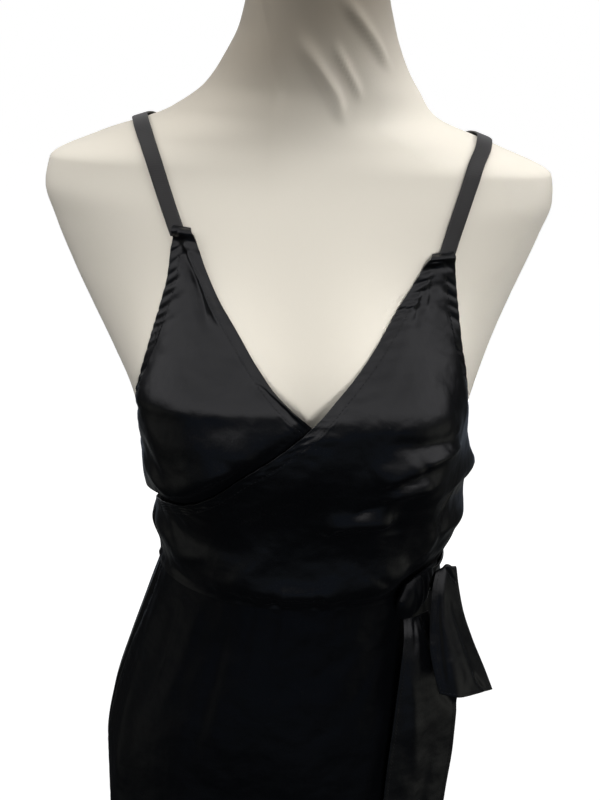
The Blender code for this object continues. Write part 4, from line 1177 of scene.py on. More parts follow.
class NodeMaker:
    """Makes and joins the nodes of one tree."""

    def __init__(self, tree):
        self.tree = tree

    def node(self, kind, settings=None, sockets=None):
        """A node of a kind, with its settings and the values or links of its sockets."""
        made = self.tree.nodes.new(kind)
        for key, value in (settings or {}).items():
            setattr(made, key, value)
        for key, value in (sockets or {}).items():
            self.feed(made.inputs[key], value)
        return made

    def feed(self, socket, value):
        """Links or sets a socket."""
        if isinstance(value, Signal):
            value = value.socket
        if isinstance(value, bpy.types.NodeSocket):
            self.tree.links.new(value, socket)
        else:
            socket.default_value = value

    def math(self, operation, first, second, clamp=False):
        """A number worked out from two others."""
        made = self.node("ShaderNodeMath", {"operation": operation, "use_clamp": clamp},
                         {0: first, 1: second})
        return Signal(self, made.outputs[0])

    def place(self, kind="Object"):
        """A point's own coordinates."""
        return self.node("ShaderNodeTexCoord").outputs[kind]

    def span(self, value, low, high):
        """0 at the low value, 1 at the high one, and soft between."""
        made = self.node("ShaderNodeMapRange", {"interpolation_type": "SMOOTHSTEP"},
                         {"Value": value, "From Min": low, "From Max": high})
        return Signal(self, made.outputs[0])

    def noise(self, vector, scale, detail=2.0, roughness=0.5):
        """Soft uneven noise about a half, of a scale, layers of detail and roughness."""
        made = self.node("ShaderNodeTexNoise", None,
                         {"Vector": vector, "Scale": scale, "Detail": detail,
                          "Roughness": roughness})
        return Signal(self, made.outputs["Fac"])

    def mix(self, share, first, second):
        """The first colour at 0, the second at 1."""
        made = self.node("ShaderNodeMix", {"data_type": "RGBA"},
                         {0: share, 6: first, 7: second})
        return made.outputs[2]

    def axes(self, vector, wanted="XYZ"):
        """The wanted parts of a vector, as numbers."""
        parts = self.node("ShaderNodeSeparateXYZ", None, {0: vector})
        return [Signal(self, parts.outputs[axis]) for axis in wanted]

    def glow(self, colour, strength):
        """Light of a colour and strength, for a world."""
        return self.node("ShaderNodeBackground", None,
                         {"Color": colour, "Strength": strength}).outputs[0]

    def together(self, first, second):
        """Both lights at once."""
        return self.node("ShaderNodeAddShader", None, {0: first, 1: second}).outputs[0]


class FinishMaker(NodeMaker):
    """One material and its nodes."""

    def __init__(self, name):
        self.material = bpy.data.materials.new(name)
        self.material.use_nodes = True
        super().__init__(self.material.node_tree)
        self.shader = self.tree.nodes["Principled BSDF"]

    def stretch(self, vector, scale):
        """Coordinates scaled along each axis."""
        made = self.node("ShaderNodeMapping", None, {"Vector": vector, "Scale": scale})
        return made.outputs[0]

    def tone(self, share, colour, low, high):
        """A colour between two factors of itself."""
        return self.mix(share, opaque(colour, low), opaque(colour, high))

    def wave(self, vector, scale, direction):
        """Even bands along an axis."""
        made = self.node("ShaderNodeTexWave", {"bands_direction": direction},
                         {"Vector": vector, "Scale": scale})
        return Signal(self, made.outputs["Fac"])

    def surface(self, **sockets):
        """Feeds the shader's sockets, each named with underscores for its spaces."""
        for key, value in sockets.items():
            self.feed(self.shader.inputs[key.replace("_", " ")], value)

    def relief(self, height, distance, strength):
        """Fine relief of a height between 0 and 1 times the distance."""
        made = self.node("ShaderNodeBump", None,
                         {"Height": height, "Distance": distance, "Strength": strength})
        self.tree.links.new(made.outputs[0], self.shader.inputs["Normal"])


def satin_finish(name):
    """Black satin: a close weave with long floats, fine slubs and a soft uneven sheen."""
    colour = bpy.context.scene.dress_colours.satin
    maker = FinishMaker(name)
    place = maker.place()
    weave = maker.place("UV")
    drift = maker.noise(place, 14, 3, 0.55)
    grain = maker.noise(maker.stretch(weave, (1500, 420, 1)), 1.0, 2, 0.6)
    slub = maker.noise(maker.stretch(weave, (260, 34, 1)), 1.0, 3, 0.6)
    crush = maker.noise(place, 120, 3, 0.6)
    rumple = maker.noise(place, 42, 2, 0.5)
    cloud = maker.noise(place, 19, 2, 0.5)
    maker.surface(
        Base_Color=maker.tone((drift * 0.8 + slub * 0.4 - 0.2).clamped(), colour, 0.75, 1.35),
        Roughness=0.265 + drift * 0.10 + slub * 0.04,
        # The copy with less shine is painted shade for the skirt and the knot
        Specular_IOR_Level=SATIN_SHINE[name],
        Sheen_Weight=0.005,
        Sheen_Roughness=0.45,
        Sheen_Tint=(0.80, 0.86, 1.0, 1),
    )
    height = grain * 0.06 + slub * 0.12 + crush * 0.35 + rumple * 2.4 + cloud * 7.0
    maker.relief(height, distance=0.0011, strength=0.6)
    return maker.material


def strap_finish(name):
    """Flat woven strap: fine ribs across it and an uneven dark tone."""
    colour = bpy.context.scene.dress_colours.strap
    maker = FinishMaker(name)
    weave = maker.place("UV")
    ribs = maker.wave(weave, 190, "Y")
    threads = maker.noise(maker.stretch(weave, (2600, 500, 1)), 1.0, 2, 0.6)
    drift = maker.noise(maker.place(), 60, 3, 0.55)
    maker.surface(
        Base_Color=maker.tone(drift, colour, 0.8, 1.3),
        Roughness=0.52 + drift * 0.12,
        Specular_IOR_Level=0.40,
        Sheen_Weight=0.05,
        Sheen_Roughness=0.5,
    )
    maker.relief(ribs * 0.5 + threads * 0.5, distance=0.00012, strength=0.7)
    return maker.material


def thread_finish(name):
    """Sewing thread: a dark twisted thread with a faint shine."""
    colour = bpy.context.scene.dress_colours.satin
    maker = FinishMaker(name)
    twist = maker.noise(maker.place(), 1800, 2, 0.5)
    maker.surface(
        Base_Color=maker.tone(twist, colour, 0.9, 1.9),
        Roughness=0.42 + twist * 0.1,
        Specular_IOR_Level=0.45,
    )
    maker.relief(twist, distance=0.00005, strength=0.5)
    return maker.material


def cover_finish(name):
    """Smooth cream cover of the form: a fine close knit, with painted shade at the neck."""
    colour = bpy.context.scene.dress_colours.cover
    maker = FinishMaker(name)
    place = maker.place()
    drift = maker.noise(place, 7, 3, 0.5)
    across, height = maker.axes(place, "XZ")
    slant = maker.math("MAXIMUM", across, NECK_SLANT_START) * NECK_SLANT
    # Painted shade: the base colour darkens up the neck, standing in for the shadow there
    neck = maker.span(height - slant, *NECK_PAINTED_SHADE)
    painted_shade_colour = (*(part * share for part, share in zip(colour, NECK_SHADE_SHARES)), 1)
    knit = maker.noise(maker.stretch(place, (1, 1, 0.6)), 1500, 2, 0.6)
    wales = maker.noise(maker.stretch(place, (1, 1, 0.12)), 700, 2, 0.5)
    tone = maker.tone(drift * 0.75 + knit * 0.25, colour, 0.975, 1.02)
    maker.surface(
        Base_Color=maker.mix(neck, tone, painted_shade_colour),
        Roughness=0.66 + knit * 0.12,
        Specular_IOR_Level=0.28,
        Sheen_Weight=0.08,
        Sheen_Roughness=0.6,
    )
    maker.relief(knit * 0.6 + wales * 0.4, distance=0.00010, strength=0.35)
    return maker.material


def board_finish(name):
    """Plain sealed board with a straight grain."""
    colour = bpy.context.scene.dress_colours.board
    maker = FinishMaker(name)
    place = maker.place()
    grain = maker.noise(maker.stretch(place, (6, 90, 90)), 1.0, 4, 0.6)
    pores = maker.noise(maker.stretch(place, (60, 1400, 1400)), 1.0, 2, 0.5)
    maker.surface(
        Base_Color=maker.tone((grain * 1.4 - 0.2).clamped(), colour, 0.62, 1.2),
        Roughness=0.42 + pores * 0.2,
    )
    maker.relief(grain * 0.5 + pores * 0.5, distance=0.00015, strength=0.5)
    return maker.material


def steel_finish(name):
    """Satin steel, brushed round its axis, with faint handling marks."""
    colour = bpy.context.scene.dress_colours.steel
    maker = FinishMaker(name)
    place = maker.place()
    brush = maker.noise(maker.stretch(place, (26, 26, 1900)), 1.0, 2, 0.6)
    marks = maker.noise(place, 22, 3, 0.6)
    maker.surface(
        Base_Color=maker.tone(marks, colour, 0.92, 1.06),
        Metallic=1.0,
        Roughness=0.24 + brush * 0.12 + marks * 0.08,
    )
    maker.relief(brush, distance=0.00006, strength=0.5)
    return maker.material


def floor_finish(name):
    """Plain pale studio floor that glows out into the backdrop."""
    colour = bpy.context.scene.dress_colours.floor
    maker = FinishMaker(name)
    place = maker.place()
    speck = maker.noise(place, 30, 3, 0.6)
    distance = maker.node("ShaderNodeVectorMath", {"operation": "LENGTH"}, {0: place})
    far = maker.span(Signal(maker, distance.outputs["Value"]), *FLOOR_FADE)
    maker.surface(
        Base_Color=maker.tone(speck, colour, 0.32, 0.34),
        Emission_Color=maker.tone(far, colour, FLOOR_NEAR, FLOOR_FAR),
        Emission_Strength=1.0,
        Roughness=0.9,
        Specular_IOR_Level=0.0,
    )
    return maker.material


FINISHES = {
    "black_satin": satin_finish, "quiet_satin": satin_finish, "woven_strap": strap_finish,
    "sewing_thread": thread_finish, "knit_cover": cover_finish, "form_board": board_finish,
    "brushed_steel": steel_finish, "studio_floor": floor_finish,
}


def finish(name):
    """The named material, made once. No slot of the frame has one of these names."""
    return bpy.data.materials.get(name) or FINISHES[name](name)


# -------------------- form and stand
def tube_mesh(name, points):
    """A closed tube from a grid of points whose first and last columns meet."""
    builder = grid_builder(points)
    bmesh.ops.remove_doubles(builder, verts=builder.verts, dist=MERGE_DISTANCE)
    rims = [edge for edge in builder.edges if edge.is_boundary]
    if rims:
        bmesh.ops.holes_fill(builder, edges=rims, sides=0)
    bmesh.ops.recalc_face_normals(builder, faces=builder.faces)
    return placed(name, builder, TUBE_SHARP)


def arc(centre_out, centre_up, radius, start, end):
    """Points of a rounded corner in a profile of radius and height."""
    return [(centre_out + radius * math.cos(turn), centre_up + radius * math.sin(turn))
            for turn in np.radians(np.linspace(start, end, ARC_STEPS + 1))]


def spun_piece(name, profile, steps):
    """A turned piece from its profile of radius and height, bottom first."""
    builder = bmesh.new()
    verts = [builder.verts.new((out, 0, up)) for out, up in profile]
    edges = [builder.edges.new(pair) for pair in zip(verts, verts[1:])]
    bmesh.ops.spin(builder, geom=verts + edges, cent=(0, 0, 0), axis=(0, 0, 1),
                   angle=2 * math.pi, steps=steps, use_merge=True)
    bmesh.ops.remove_doubles(builder, verts=builder.verts, dist=MERGE_DISTANCE)
    bmesh.ops.recalc_face_normals(builder, faces=builder.faces)
    return placed(name, builder, SPUN_SHARP)


def form_end(name, node, rings):
    """A rounded plate in the outline of the form's nearer end."""
    low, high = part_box(node)
    scale, rise = np.array(rings).T[..., None]
    angle = np.linspace(-180, 180, OUTLINE_COLUMNS + 1)
    edge = np.array(NECK_TOP if low.z > WAIST else FORM_BOTTOM)
    level = low.z - WAIST + np.minimum(rise, high.z - low.z)
    radius = form_radius(angle, edge) * scale
    return tube_mesh(name, polar_points(form_table.at(edge)[..., -1], radius, angle, level))


def base_profile(low, high):
    """The base's plate with its rounded rim, and the hub round the pole."""
    profile = [(0.0, low.z), (high.x - 0.6 * BASE_LOWER, low.z)]
    profile += arc(high.x - BASE_LOWER, BASE_LOWER, BASE_LOWER, -60, 0)
    profile += arc(high.x - BASE_UPPER, BASE_THICK - BASE_UPPER, BASE_UPPER, 0, 80)
    profile += [(out, BASE_THICK + rise) for out, rise in HUB_FOOT]
    profile += arc(HUB_TOP, high.z - HUB_CORNER, HUB_CORNER, 8, 90)
    profile += [(out, high.z - drop) for out, drop in HUB_MOUTH]
    return profile


def pole_profile(low, high):
    """The plain round pole."""
    return [(0.0, low.z), (high.x, low.z), (high.x, high.z), (0.0, high.z)]


def collar_profile(low, high):
    """The collar's sleeve round the pole, and the flange that carries the form's board."""
    profile = [(0.0, low.z), (COLLAR_SLEEVE - COLLAR_CORNER, low.z)]
    profile += arc(COLLAR_SLEEVE - COLLAR_CORNER, low.z + COLLAR_CORNER, COLLAR_CORNER, -80, 0)
    profile += [(COLLAR_SLEEVE + out, high.z - drop) for out, drop in COLLAR_NECK]
    profile += arc(high.x - COLLAR_CORNER, high.z - COLLAR_FLANGE, COLLAR_CORNER, -45, 0)
    profile += arc(high.x - COLLAR_RIM, high.z - COLLAR_RIM, COLLAR_RIM, 0, 90)
    profile += [(0.0, high.z)]
    return profile


class DRESS_OT_form(bpy.types.Operator):
    """Builds the torso's cover, the neck cap and the board under the form"""
    bl_idname = "dress.form"
    bl_label = "Dress form"

    def execute(self, context):
        spans = zip((FORM_BOTTOM, *SHOULDERS), (*SHOULDERS, NECK_TOP), TORSO_ROWS)
        heights = np.unique(np.concatenate([np.linspace(*span) for span in spans]))
        angle, height = np.meshgrid(np.linspace(-180, 180, TORSO_COLUMNS + 1), heights)
        points = round_points(form_radius(angle, height), form_table, angle, height)
        torso = tube_mesh("torso_cover", points)
        finish_piece(torso, "knit_cover", "form_cover", "form_torso")
        cap = form_end("neck_cap", "form_neck_cap", CAP_RINGS)
        finish_piece(cap, "knit_cover", "form_cover", "form_neck_cap")
        board = form_end("form_board", "form_base_plate", BOARD_RINGS)
        finish_piece(board, "form_board", "form_plate", "form_base_plate")
        return {"FINISHED"}


class DRESS_OT_stand(bpy.types.Operator):
    """Builds the collar, the pole and the round base"""
    bl_idname = "dress.stand"
    bl_label = "Stand"

    def execute(self, context):
        for name, node, profile_rule, steps in (
                ("round_base", "stand_base", base_profile, BASE_STEPS),
                ("stand_tube", "stand_pole", pole_profile, POLE_STEPS),
                ("stand_collar_ring", "stand_collar", collar_profile, COLLAR_STEPS)):
            piece = spun_piece(name, profile_rule(*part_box(node)), steps)
            finish_piece(piece, "brushed_steel", "stand_steel", node)
        return {"FINISHED"}


# -------------------- bodice
def front_places(side, cross, across, along):
    """Angle and height between a front's side edge and its crossing edge."""
    start = Table(side).at(along)
    end = Table(cross).at(along)
    place = start + (end - start) * across[..., None]
    return place[..., 0], place[..., 1] + SEAM_GAP / 2


def flat_cut(angle, height):
    """Place on the flat cut in metres, for the weave."""
    return np.stack((np.radians(angle) * MEAN_RADIUS, height + 0 * angle), axis=-1)


def tip_relief(distance, across, hollow_span):
    """The strap's end of a cup: cloth turned over as a soft roll, hollow beneath one side."""
    roll = TIP_ROLL * bump(distance - TIP_PLACE, TIP_SPREAD)
    under = -TIP_HOLLOW * bump(distance - TIP_HOLLOW_PLACE, TIP_HOLLOW_SPREAD)
    curl = -TIP_CURL * bump(distance, TIP_CURL_HALF)
    return roll + under * soft(across, *hollow_span) ** 2 + curl


def full_share(angle, height):
    """The top front has its hems' relief all over."""
    return 1.0


def under_share(angle, height):
    """The under front has less of its hems' relief where the top one covers it."""
    return UNDER_LEAST + (1 - UNDER_LEAST) * shown_share(angle, height)


def front_relief(distances, along, height, angle, puckers):
    """Hems, seams, rolled edges and gathers of a front."""
    width = bpy.context.scene.dress_sizes.hem
    (cross_away, cross_along), (side_away, side_along) = distances
    neck_pucker, arm_pucker = puckers
    free_cross = soft(along, *CROSS_FREE)
    free_side = soft(along, *SIDE_FREE)
    relief = free_cross * hem_relief(cross_away, cross_along, width, neck_pucker,
                                     cross_along.max())
    relief += free_side * hem_relief(side_away, side_along, width, arm_pucker, side_along.max())
    arm_share = ARM_ROLL_LEAST + (1 - ARM_ROLL_LEAST) * (1 - soft(along, *ARM_ROLL_FALL))
    relief -= ARM_ROLL * arm_share * free_side * bump(side_away, ARM_ROLL_SPREAD)
    relief -= NECK_ROLL * soft(along, *NECK_ROLL_RISE) * bump(cross_away, NECK_ROLL_SPREAD)
    relief += (1 - free_side) * seam_relief(side_away)
    relief += (1 - free_cross) * seam_relief(cross_away)
    doubled = np.maximum(free_cross * doubled_share(cross_away, width),
                         free_side * doubled_share(side_away, width))
    return relief + gathers(angle, height, BODICE_GATHER), doubled


def front_sheet(name, edges, rules, puckers, side_turn, hollow_span):
    """One front: its shape between its edges, its relief, and the roll at its strap."""
    radius_rule, inset_rule, share_rule = rules
    across, along = grid_places(*FRONT_GRID)
    angle, height = front_places(*edges, across, along)
    angle = angle + np.where(across == 0, side_turn, 0)
    points, normals = surface(radius_rule, inset_rule, form_table, angle, height)
    distances = [edge_distance(points, points[:, column]) for column in (-1, 0)]
    top_away, _ = edge_distance(points, points[-1])
    relief, doubled = front_relief(distances, along, height, angle, puckers)
    relief *= share_rule(angle, height)
    calm = TIP_CALM_SHARE * (1 - soft(top_away, *TIP_CALM))
    relief = relief * (1 - calm) + tip_relief(top_away, across, hollow_span)
    room = TIP_ROOM + TIP_ROOM_END * soft(top_away, TIP_ROOM_END, 2 * TIP_ROOM_END)
    relief = np.where(relief < 0, -room * np.tanh(-relief / room), relief)
    lay_sheet(name, points + normals * relief[..., None], normals, flat_cut(angle, height),
              doubled, edges=(distances[0][0], distances[1][0], along[:, 0]))


def back_sheet():
    """The low back between the side seams, hemmed along its top edge."""
    width = bpy.context.scene.dress_sizes.hem
    across, along = grid_places(*BACK_GRID)
    angle = SEAM_TURN + (180 - 2 * SEAM_TURN) * across
    height = SEAM_GAP / 2 + Table(BACK_TOP).at(angle)[..., 0] * along
    points, normals = surface(back_radius, no_inset, form_table, angle, height)
    top_away, top_along = edge_distance(points, points[-1])
    relief = hem_relief(top_away, top_along, width, BACK_PUCKER)
    for column in (0, -1):
        relief += seam_relief(edge_distance(points, points[:, column])[0])
    relief += gathers(angle, height, BODICE_GATHER)
    lay_sheet("bodice_back", points + normals * relief[..., None], normals,
              flat_cut(angle, height), doubled_share(top_away, width), edges=(top_away,))


class DRESS_OT_bodice(bpy.types.Operator):
    """Builds the two crossed fronts and the low back"""
    bl_idname = "dress.bodice"
    bl_label = "Bodice"

    def execute(self, context):
        front_sheet("bodice_front_left", (LEFT_SIDE, OVER_EDGE),
                    (front_radius, no_inset, full_share), (NECK_PUCKER, ARM_PUCKER),
                    -SEAM_TURN, LEFT_HOLLOW)
        front_sheet("bodice_front_right", (RIGHT_SIDE, UNDER_EDGE),
                    (under_radius, under_inset, under_share),
                    (NECK_PUCKER_RIGHT, ARM_PUCKER_RIGHT), SEAM_TURN, RIGHT_HOLLOW)
        back_sheet()
        return {"FINISHED"}


# -------------------- skirt
def skirt_sheet(name, start, end, inset_rule, free_edge):
    """One skirt panel with its foot hem, seams, and a narrow hem on a free front edge."""
    sizes = bpy.context.scene.dress_sizes
    across, along = grid_places(*SKIRT_GRIDS[name])
    angle = start + (end - start) * across
    height = -SEAM_GAP / 2 - (HEM_DROP - SEAM_GAP / 2) * along
    points, normals = surface(skirt_radius, inset_rule, skirt_table, angle, height)
    foot_away, foot_along = edge_distance(points, points[-1])
    end_away, end_along = edge_distance(points, points[:, -1])
    start_away, _ = edge_distance(points, points[:, 0])
    relief = hem_relief(foot_away, foot_along, sizes.skirt_hem, HEM_PUCKER)
    relief += seam_relief(start_away) + gathers(angle, -height, SKIRT_GATHER)
    doubled = doubled_share(foot_away, sizes.skirt_hem)
    if free_edge:
        relief += hem_relief(end_away, end_along, sizes.hem, HEM_PUCKER)
        doubled = np.maximum(doubled, doubled_share(end_away, sizes.hem))
    else:
        relief += seam_relief(end_away)
    # The skirt takes the satin's copy with less shine, as painted shade
    lay_sheet(name, points + normals * relief[..., None], normals, flat_cut(angle, height),
              doubled, "quiet_satin", edges=(foot_away, end_away))


class DRESS_OT_skirt(bpy.types.Operator):
    """Builds the two crossed skirt fronts and the skirt's back"""
    bl_idname = "dress.skirt"
    bl_label = "Skirt"

    def execute(self, context):
        skirt_sheet("skirt_front_over", -SEAM_TURN, OVER_SKIRT_EDGE, no_inset, True)
        skirt_sheet("skirt_front_under", -180 + SEAM_TURN, UNDER_SKIRT_EDGE, under_skirt_inset,
                    True)
        skirt_sheet("skirt_back", SEAM_TURN, 180 - SEAM_TURN, no_inset, False)
        return {"FINISHED"}


# -------------------- straps
def strap_points(across_x, turn):
    """Points on the form in the upright plane at a distance from the middle, at a turn."""
    out_y = -np.cos(np.radians(turn))
    out_z = np.sin(np.radians(turn))
    low, high = (np.full(across_x.shape, reach) for reach in STRAP_SEARCH)
    for _ in range(STRAP_HALVINGS):
        middle = (low + high) / 2
        height = STRAP_CENTRE_HEIGHT + out_z * middle
        depth = out_y * middle
        sideways = form_table.at(height)[..., -1]
        angle = np.degrees(np.arctan2(depth, across_x - sideways))
        reach = np.hypot(across_x - sideways, depth)
        inside = (reach < form_radius(angle, height)) & (height < NECK_TOP)
        low = np.where(inside, middle, low)
        high = np.where(inside, high, middle)
    return np.stack((across_x, out_y * low, WAIST + STRAP_CENTRE_HEIGHT + out_z * low), axis=-1)


def strap_sheet(name, table):
    """A flat strap that follows the shoulder from the cup's tip to the back's top edge."""
    sizes = bpy.context.scene.dress_sizes
    across, along = grid_places(*STRAP_GRID)
    turn = table[0][0] + (table[-1][0] - table[0][0]) * along
    middle = Table(table).at(turn)[..., 0]
    edge_x = middle + (across - 0.5) * sizes.strap_width
    base = strap_points(edge_x, turn)
    turned, moved = STRAP_PROBE
    step = strap_points(edge_x, turn + turned) - strap_points(edge_x, turn - turned)
    sideways = strap_points(edge_x + moved, turn) - strap_points(edge_x - moved, turn)
    normals = unit(np.cross(step, sideways))
    centre = np.stack((middle * STRAP_CENTRE_SHARE, 0 * middle,
                       0 * middle + WAIST + STRAP_CENTRE_HEIGHT), axis=-1)
    normals = normals * np.where(((base - centre) * normals).sum(-1, keepdims=True) < 0, -1, 1)
    lift = STRAP_LIFT + STRAP_BACK_LIFT[name] * soft(along, *STRAP_LIFT_SPAN)
    rounding = STRAP_EDGE_DROP * soft(np.abs(2 * across - 1), *STRAP_ROUND)
    points = base + normals * (lift + sizes.strap_thick - rounding)[..., None]
    cut = np.stack((across * sizes.strap_width, along * line_length(points)), axis=-1)
    lay_sheet(name, points, normals, cut, np.ones_like(across), "woven_strap", "strap_ribbon",
              (sizes.strap_thick, 1.0))


class DRESS_OT_straps(bpy.types.Operator):
    """Builds the two shoulder straps"""
    bl_idname = "dress.straps"
    bl_label = "Straps"

    def execute(self, context):
        strap_sheet("strap_right", STRAP_RIGHT)
        strap_sheet("strap_left", STRAP_LEFT)
        return {"FINISHED"}


# -------------------- tie
def dress_reach(angle, height, sideways):
    """The dress's outside at an angle, measured from another middle."""
    bodice = np.where(angle > 0, back_radius(angle, height), front_radius(angle, height))
    radius = np.where(height >= 0, bodice, skirt_radius(angle, height))
    middle = np.where(height >= 0, form_table.at(height)[..., -1], skirt_table.at(height)[..., -1])
    return radius + (middle - sideways) * np.cos(np.radians(angle))


def strip_creases(table, across, along, width, length):
    """Rise of creases on a strip, placed by shares of its width and length."""
    total = np.zeros(across.shape)
    for from_across, from_along, to_across, to_along, half, rise in table:
        line_x = (to_across - from_across) * width
        line_y = (to_along - from_along) * length
        point_x = (across - from_across) * width
        point_y = (along - from_along) * length
        part = (point_x * line_x + point_y * line_y) / (line_x ** 2 + line_y ** 2)
        inside = np.clip(part, 0, 1)
        away = np.hypot(point_x - inside * line_x, point_y - inside * line_y)
        total += rise * crease_taper(inside) * bump(away, half)
    return total


def tie_band():
    """The flat band that runs round the back from the side seam to the knot."""
    across, along = grid_places(*BAND_GRID)
    start, end = TIE_BAND[0][0], TIE_BAND[-1][0]
    angle = start + (end - start) * across
    rows = Table(TIE_BAND).at(angle)
    middle, half = rows[..., 0], rows[..., 1]
    height = middle + (2 * along - 1) * half
    sideways = form_table.at(middle)[..., -1]
    reach = np.max([dress_reach(angle, height + share * BAND_SMOOTHING, sideways)
                    for share in (-1, 0, 1)], axis=0)
    relief = strip_creases(BAND_CREASES, across, along, *BAND_SIZE)
    relief = relief - BAND_EDGE_DROP * soft(np.abs(2 * along - 1), *BAND_ROUND)
    points = polar_points(sideways, reach + LAY_GAP + TIE_DEPTH + relief, angle, height)
    cut = np.stack((across, along), axis=-1) * BAND_CUT
    lay_sheet("waist_tie", points, outward(angle), cut, np.ones_like(across))


def knot_wraps(up, level, wide, around):
    """How far the knot's lobes, valleys and ripples draw it in, as a share of its size."""
    depth, count, turn = KNOT_LOBES
    wraps = 1 - depth * level * np.cos(count * around + turn)
    for place, slant, half, valley in KNOT_VALLEYS:
        line = up + slant * wide - KNOT_BEND * wide ** 2 - place
        wraps = wraps - valley * bump(line, half) * soft(level, *KNOT_VALLEY_FADE)
    ripple, upward, across = KNOT_RIPPLE
    return wraps - ripple * np.sin(upward * up + across * wide) * level


def knot_mesh():
    """The knot: gathered cloth pulled tight, with its wraps running slantwise."""
    columns, rows = KNOT_GRID
    tilt, around = np.meshgrid(np.linspace(-np.pi / 2, np.pi / 2, rows + 1),
                               np.linspace(0, 2 * np.pi, columns + 1), indexing="ij")
    up = np.sin(tilt)
    level = np.cos(tilt)
    wraps = knot_wraps(up, level, level * np.cos(around), around)
    wide = level * np.cos(around) * wraps
    out = 1 + level ** KNOT_FLATNESS * np.sin(around) * wraps
    height = KNOT_HEIGHT + KNOT_RISE * up
    angle = KNOT_ANGLE + KNOT_AROUND * wide + KNOT_LEAN * up
    sideways = float(form_table.at(np.array(KNOT_HEIGHT))[-1])
    base = float(front_radius(np.array(float(KNOT_ANGLE)), np.array(KNOT_HEIGHT))) + KNOT_CLEAR
    turned, raised = KNOT_PROBE
    behind = np.max([dress_reach(angle + side * turned, height + lift * raised, sideways)
                     for side in (-1, 0, 1) for lift in (-1, 0, 1)], axis=0)
    reach = np.maximum(base + KNOT_OUT * out, behind + KNOT_CLEAR + KNOT_LEAST * out)
    piece = tube_mesh("tie_knot_wraps", polar_points(sideways, reach, angle, height))
    # The knot takes the satin's copy with less shine, as painted shade
    finish_piece(piece, "quiet_satin", "dress_satin", "tie_knot")


def folded_strip(table, fold, share, along):
    """Points of a strip between its left edge, its rounded fold line and its right edge."""
    stations = Table([(index, *row) for index, row in enumerate(table)])
    row = stations.at(np.clip(along, 0, 1) * (len(table) - 1))
    left, middle, right = row[..., 0:3], row[..., 3:6], row[..., 6:9]
    past = share - fold
    rounded = np.sqrt(past ** 2 + FOLD_ROUND ** 2) - FOLD_ROUND
    to_right = ((rounded + past) / 2 / (1 - fold))[..., None]
    to_left = ((rounded - past) / 2 / fold)[..., None]
    points = middle + (right - middle) * to_right + (left - middle) * to_left
    return points + np.array((0, 0, WAIST))


def off_the_skirt(points):
    """The points, moved out where they lie too close to the skirt."""
    height = np.minimum(points[..., 2] - WAIST, 0)
    sideways = skirt_table.at(height)[..., -1]
    angle = np.degrees(np.arctan2(points[..., 1], points[..., 0] - sideways))
    away = np.hypot(points[..., 0] - sideways, points[..., 1])
    lacking = np.maximum(skirt_radius(angle, height) + END_CLEAR - away, 0)
    return points + lacking[..., None] * outward(angle)


def end_sheet(name, table, crease_table):
    """A hanging end: a strip folded softly down its length, with its creases and its hem."""
    across, along = grid_places(*END_GRIDS[name])
    points = folded_strip(table, FOLD_SHARE[name], across, along)
    facing = way_out(points, points * END_FACING)
    widths = np.linalg.norm(np.diff(points, axis=1), axis=-1).sum(1)
    width = float(widths.max())
    length = line_length(points)
    edge_away = np.minimum(across, 1 - across) * widths[:, None]
    foot_away = (1 - along) * length
    hem = np.minimum(edge_away, foot_away)
    relief = strip_creases(crease_table, across, along, width, length)
    relief += HEM_LIFT * (1 - soft(hem, *END_HEM_FALL) - bump(hem - END_STITCH, END_DENT_HALF))
    points = off_the_skirt(points + facing * relief[..., None])
    cut = np.stack((across * width, along * length), axis=-1)
    lay_sheet(name, points, facing, cut, 1 - soft(hem, *END_DOUBLED_FALL),
              edges=(foot_away, edge_away))


class DRESS_OT_tie(bpy.types.Operator):
    """Builds the tie's band, its knot and its two hanging ends"""
    bl_idname = "dress.tie"
    bl_label = "Waist tie"

    def execute(self, context):
        tie_band()
        knot_mesh()
        end_sheet("tie_end_short", SHORT_END, SHORT_CREASES)
        end_sheet("tie_end_long", LONG_END, LONG_CREASES)
        return {"FINISHED"}


# -------------------- stitches
def edge_line(name, away, wanted, rows=slice(None), from_last=True, turned=False):
    """Points and normals at a wanted distance from the end of a sheet's rows, or columns."""
    grids = (sheets[name]["points"], sheets[name]["normals"], away)
    if turned:
        grids = [grid.swapaxes(0, 1) for grid in grids]
    step = -1 if from_last else 1
    found = []
    for line, outs, distance in zip(*(grid[rows][:, ::step] for grid in grids)):
        half = len(distance) // 2
        reached = np.maximum.accumulate(distance[:half])
        if reached[-1] <= wanted:
            continue
        place = np.interp(wanted, reached, np.arange(half))
        low = int(place)
        part = place - low
        found.append((line[low] * (1 - part) + line[low + 1] * part,
                      outs[low] * (1 - part) + outs[low + 1] * part))
    return found


def sew(builder, line, sizes):
    """Adds stitches along a line of points and normals: small threads lying on the cloth."""
    if len(line) < 2:
        return
    spots = np.array([spot for spot, _ in line])
    outs = np.array([out for _, out in line])
    travel = np.concatenate(([0], np.cumsum(np.linalg.norm(np.diff(spots, axis=0), axis=1))))
    step = sizes.stitch + sizes.stitch_gap
    for index in range(int(travel[-1] / step)):
        ends = [index * step, index * step + sizes.stitch]
        start, end = (Vector([np.interp(at, travel, spots[:, axis]) for axis in range(3)])
                      for at in ends)
        out = Vector([np.interp(sum(ends) / 2, travel, outs[:, axis]) for axis in range(3)])
        out.normalize()
        along = end - start
        if along.length < STITCH_SHORTEST * sizes.stitch:
            continue
        half = along.length / 2
        along.normalize()
        across = out.cross(along).normalized()
        middle = (start + end) / 2 + out * sizes.thread * STITCH_PROUD
        turn = Matrix((along * half, across * sizes.thread, out * sizes.thread)).transposed()
        bmesh.ops.create_icosphere(builder, subdivisions=1, radius=1.0,
                                   matrix=Matrix.Translation(middle) @ turn.to_4x4())


def stitch_piece(name, lines):
    """One joined piece of stitches from several lines."""
    sizes = bpy.context.scene.dress_sizes
    builder = bmesh.new()
    for line in lines:
        sew(builder, line, sizes)
    if not builder.verts:
        raise RuntimeError(f"{name}: no stitches were made")
    finish_piece(placed(name, builder), "sewing_thread", "dress_satin")


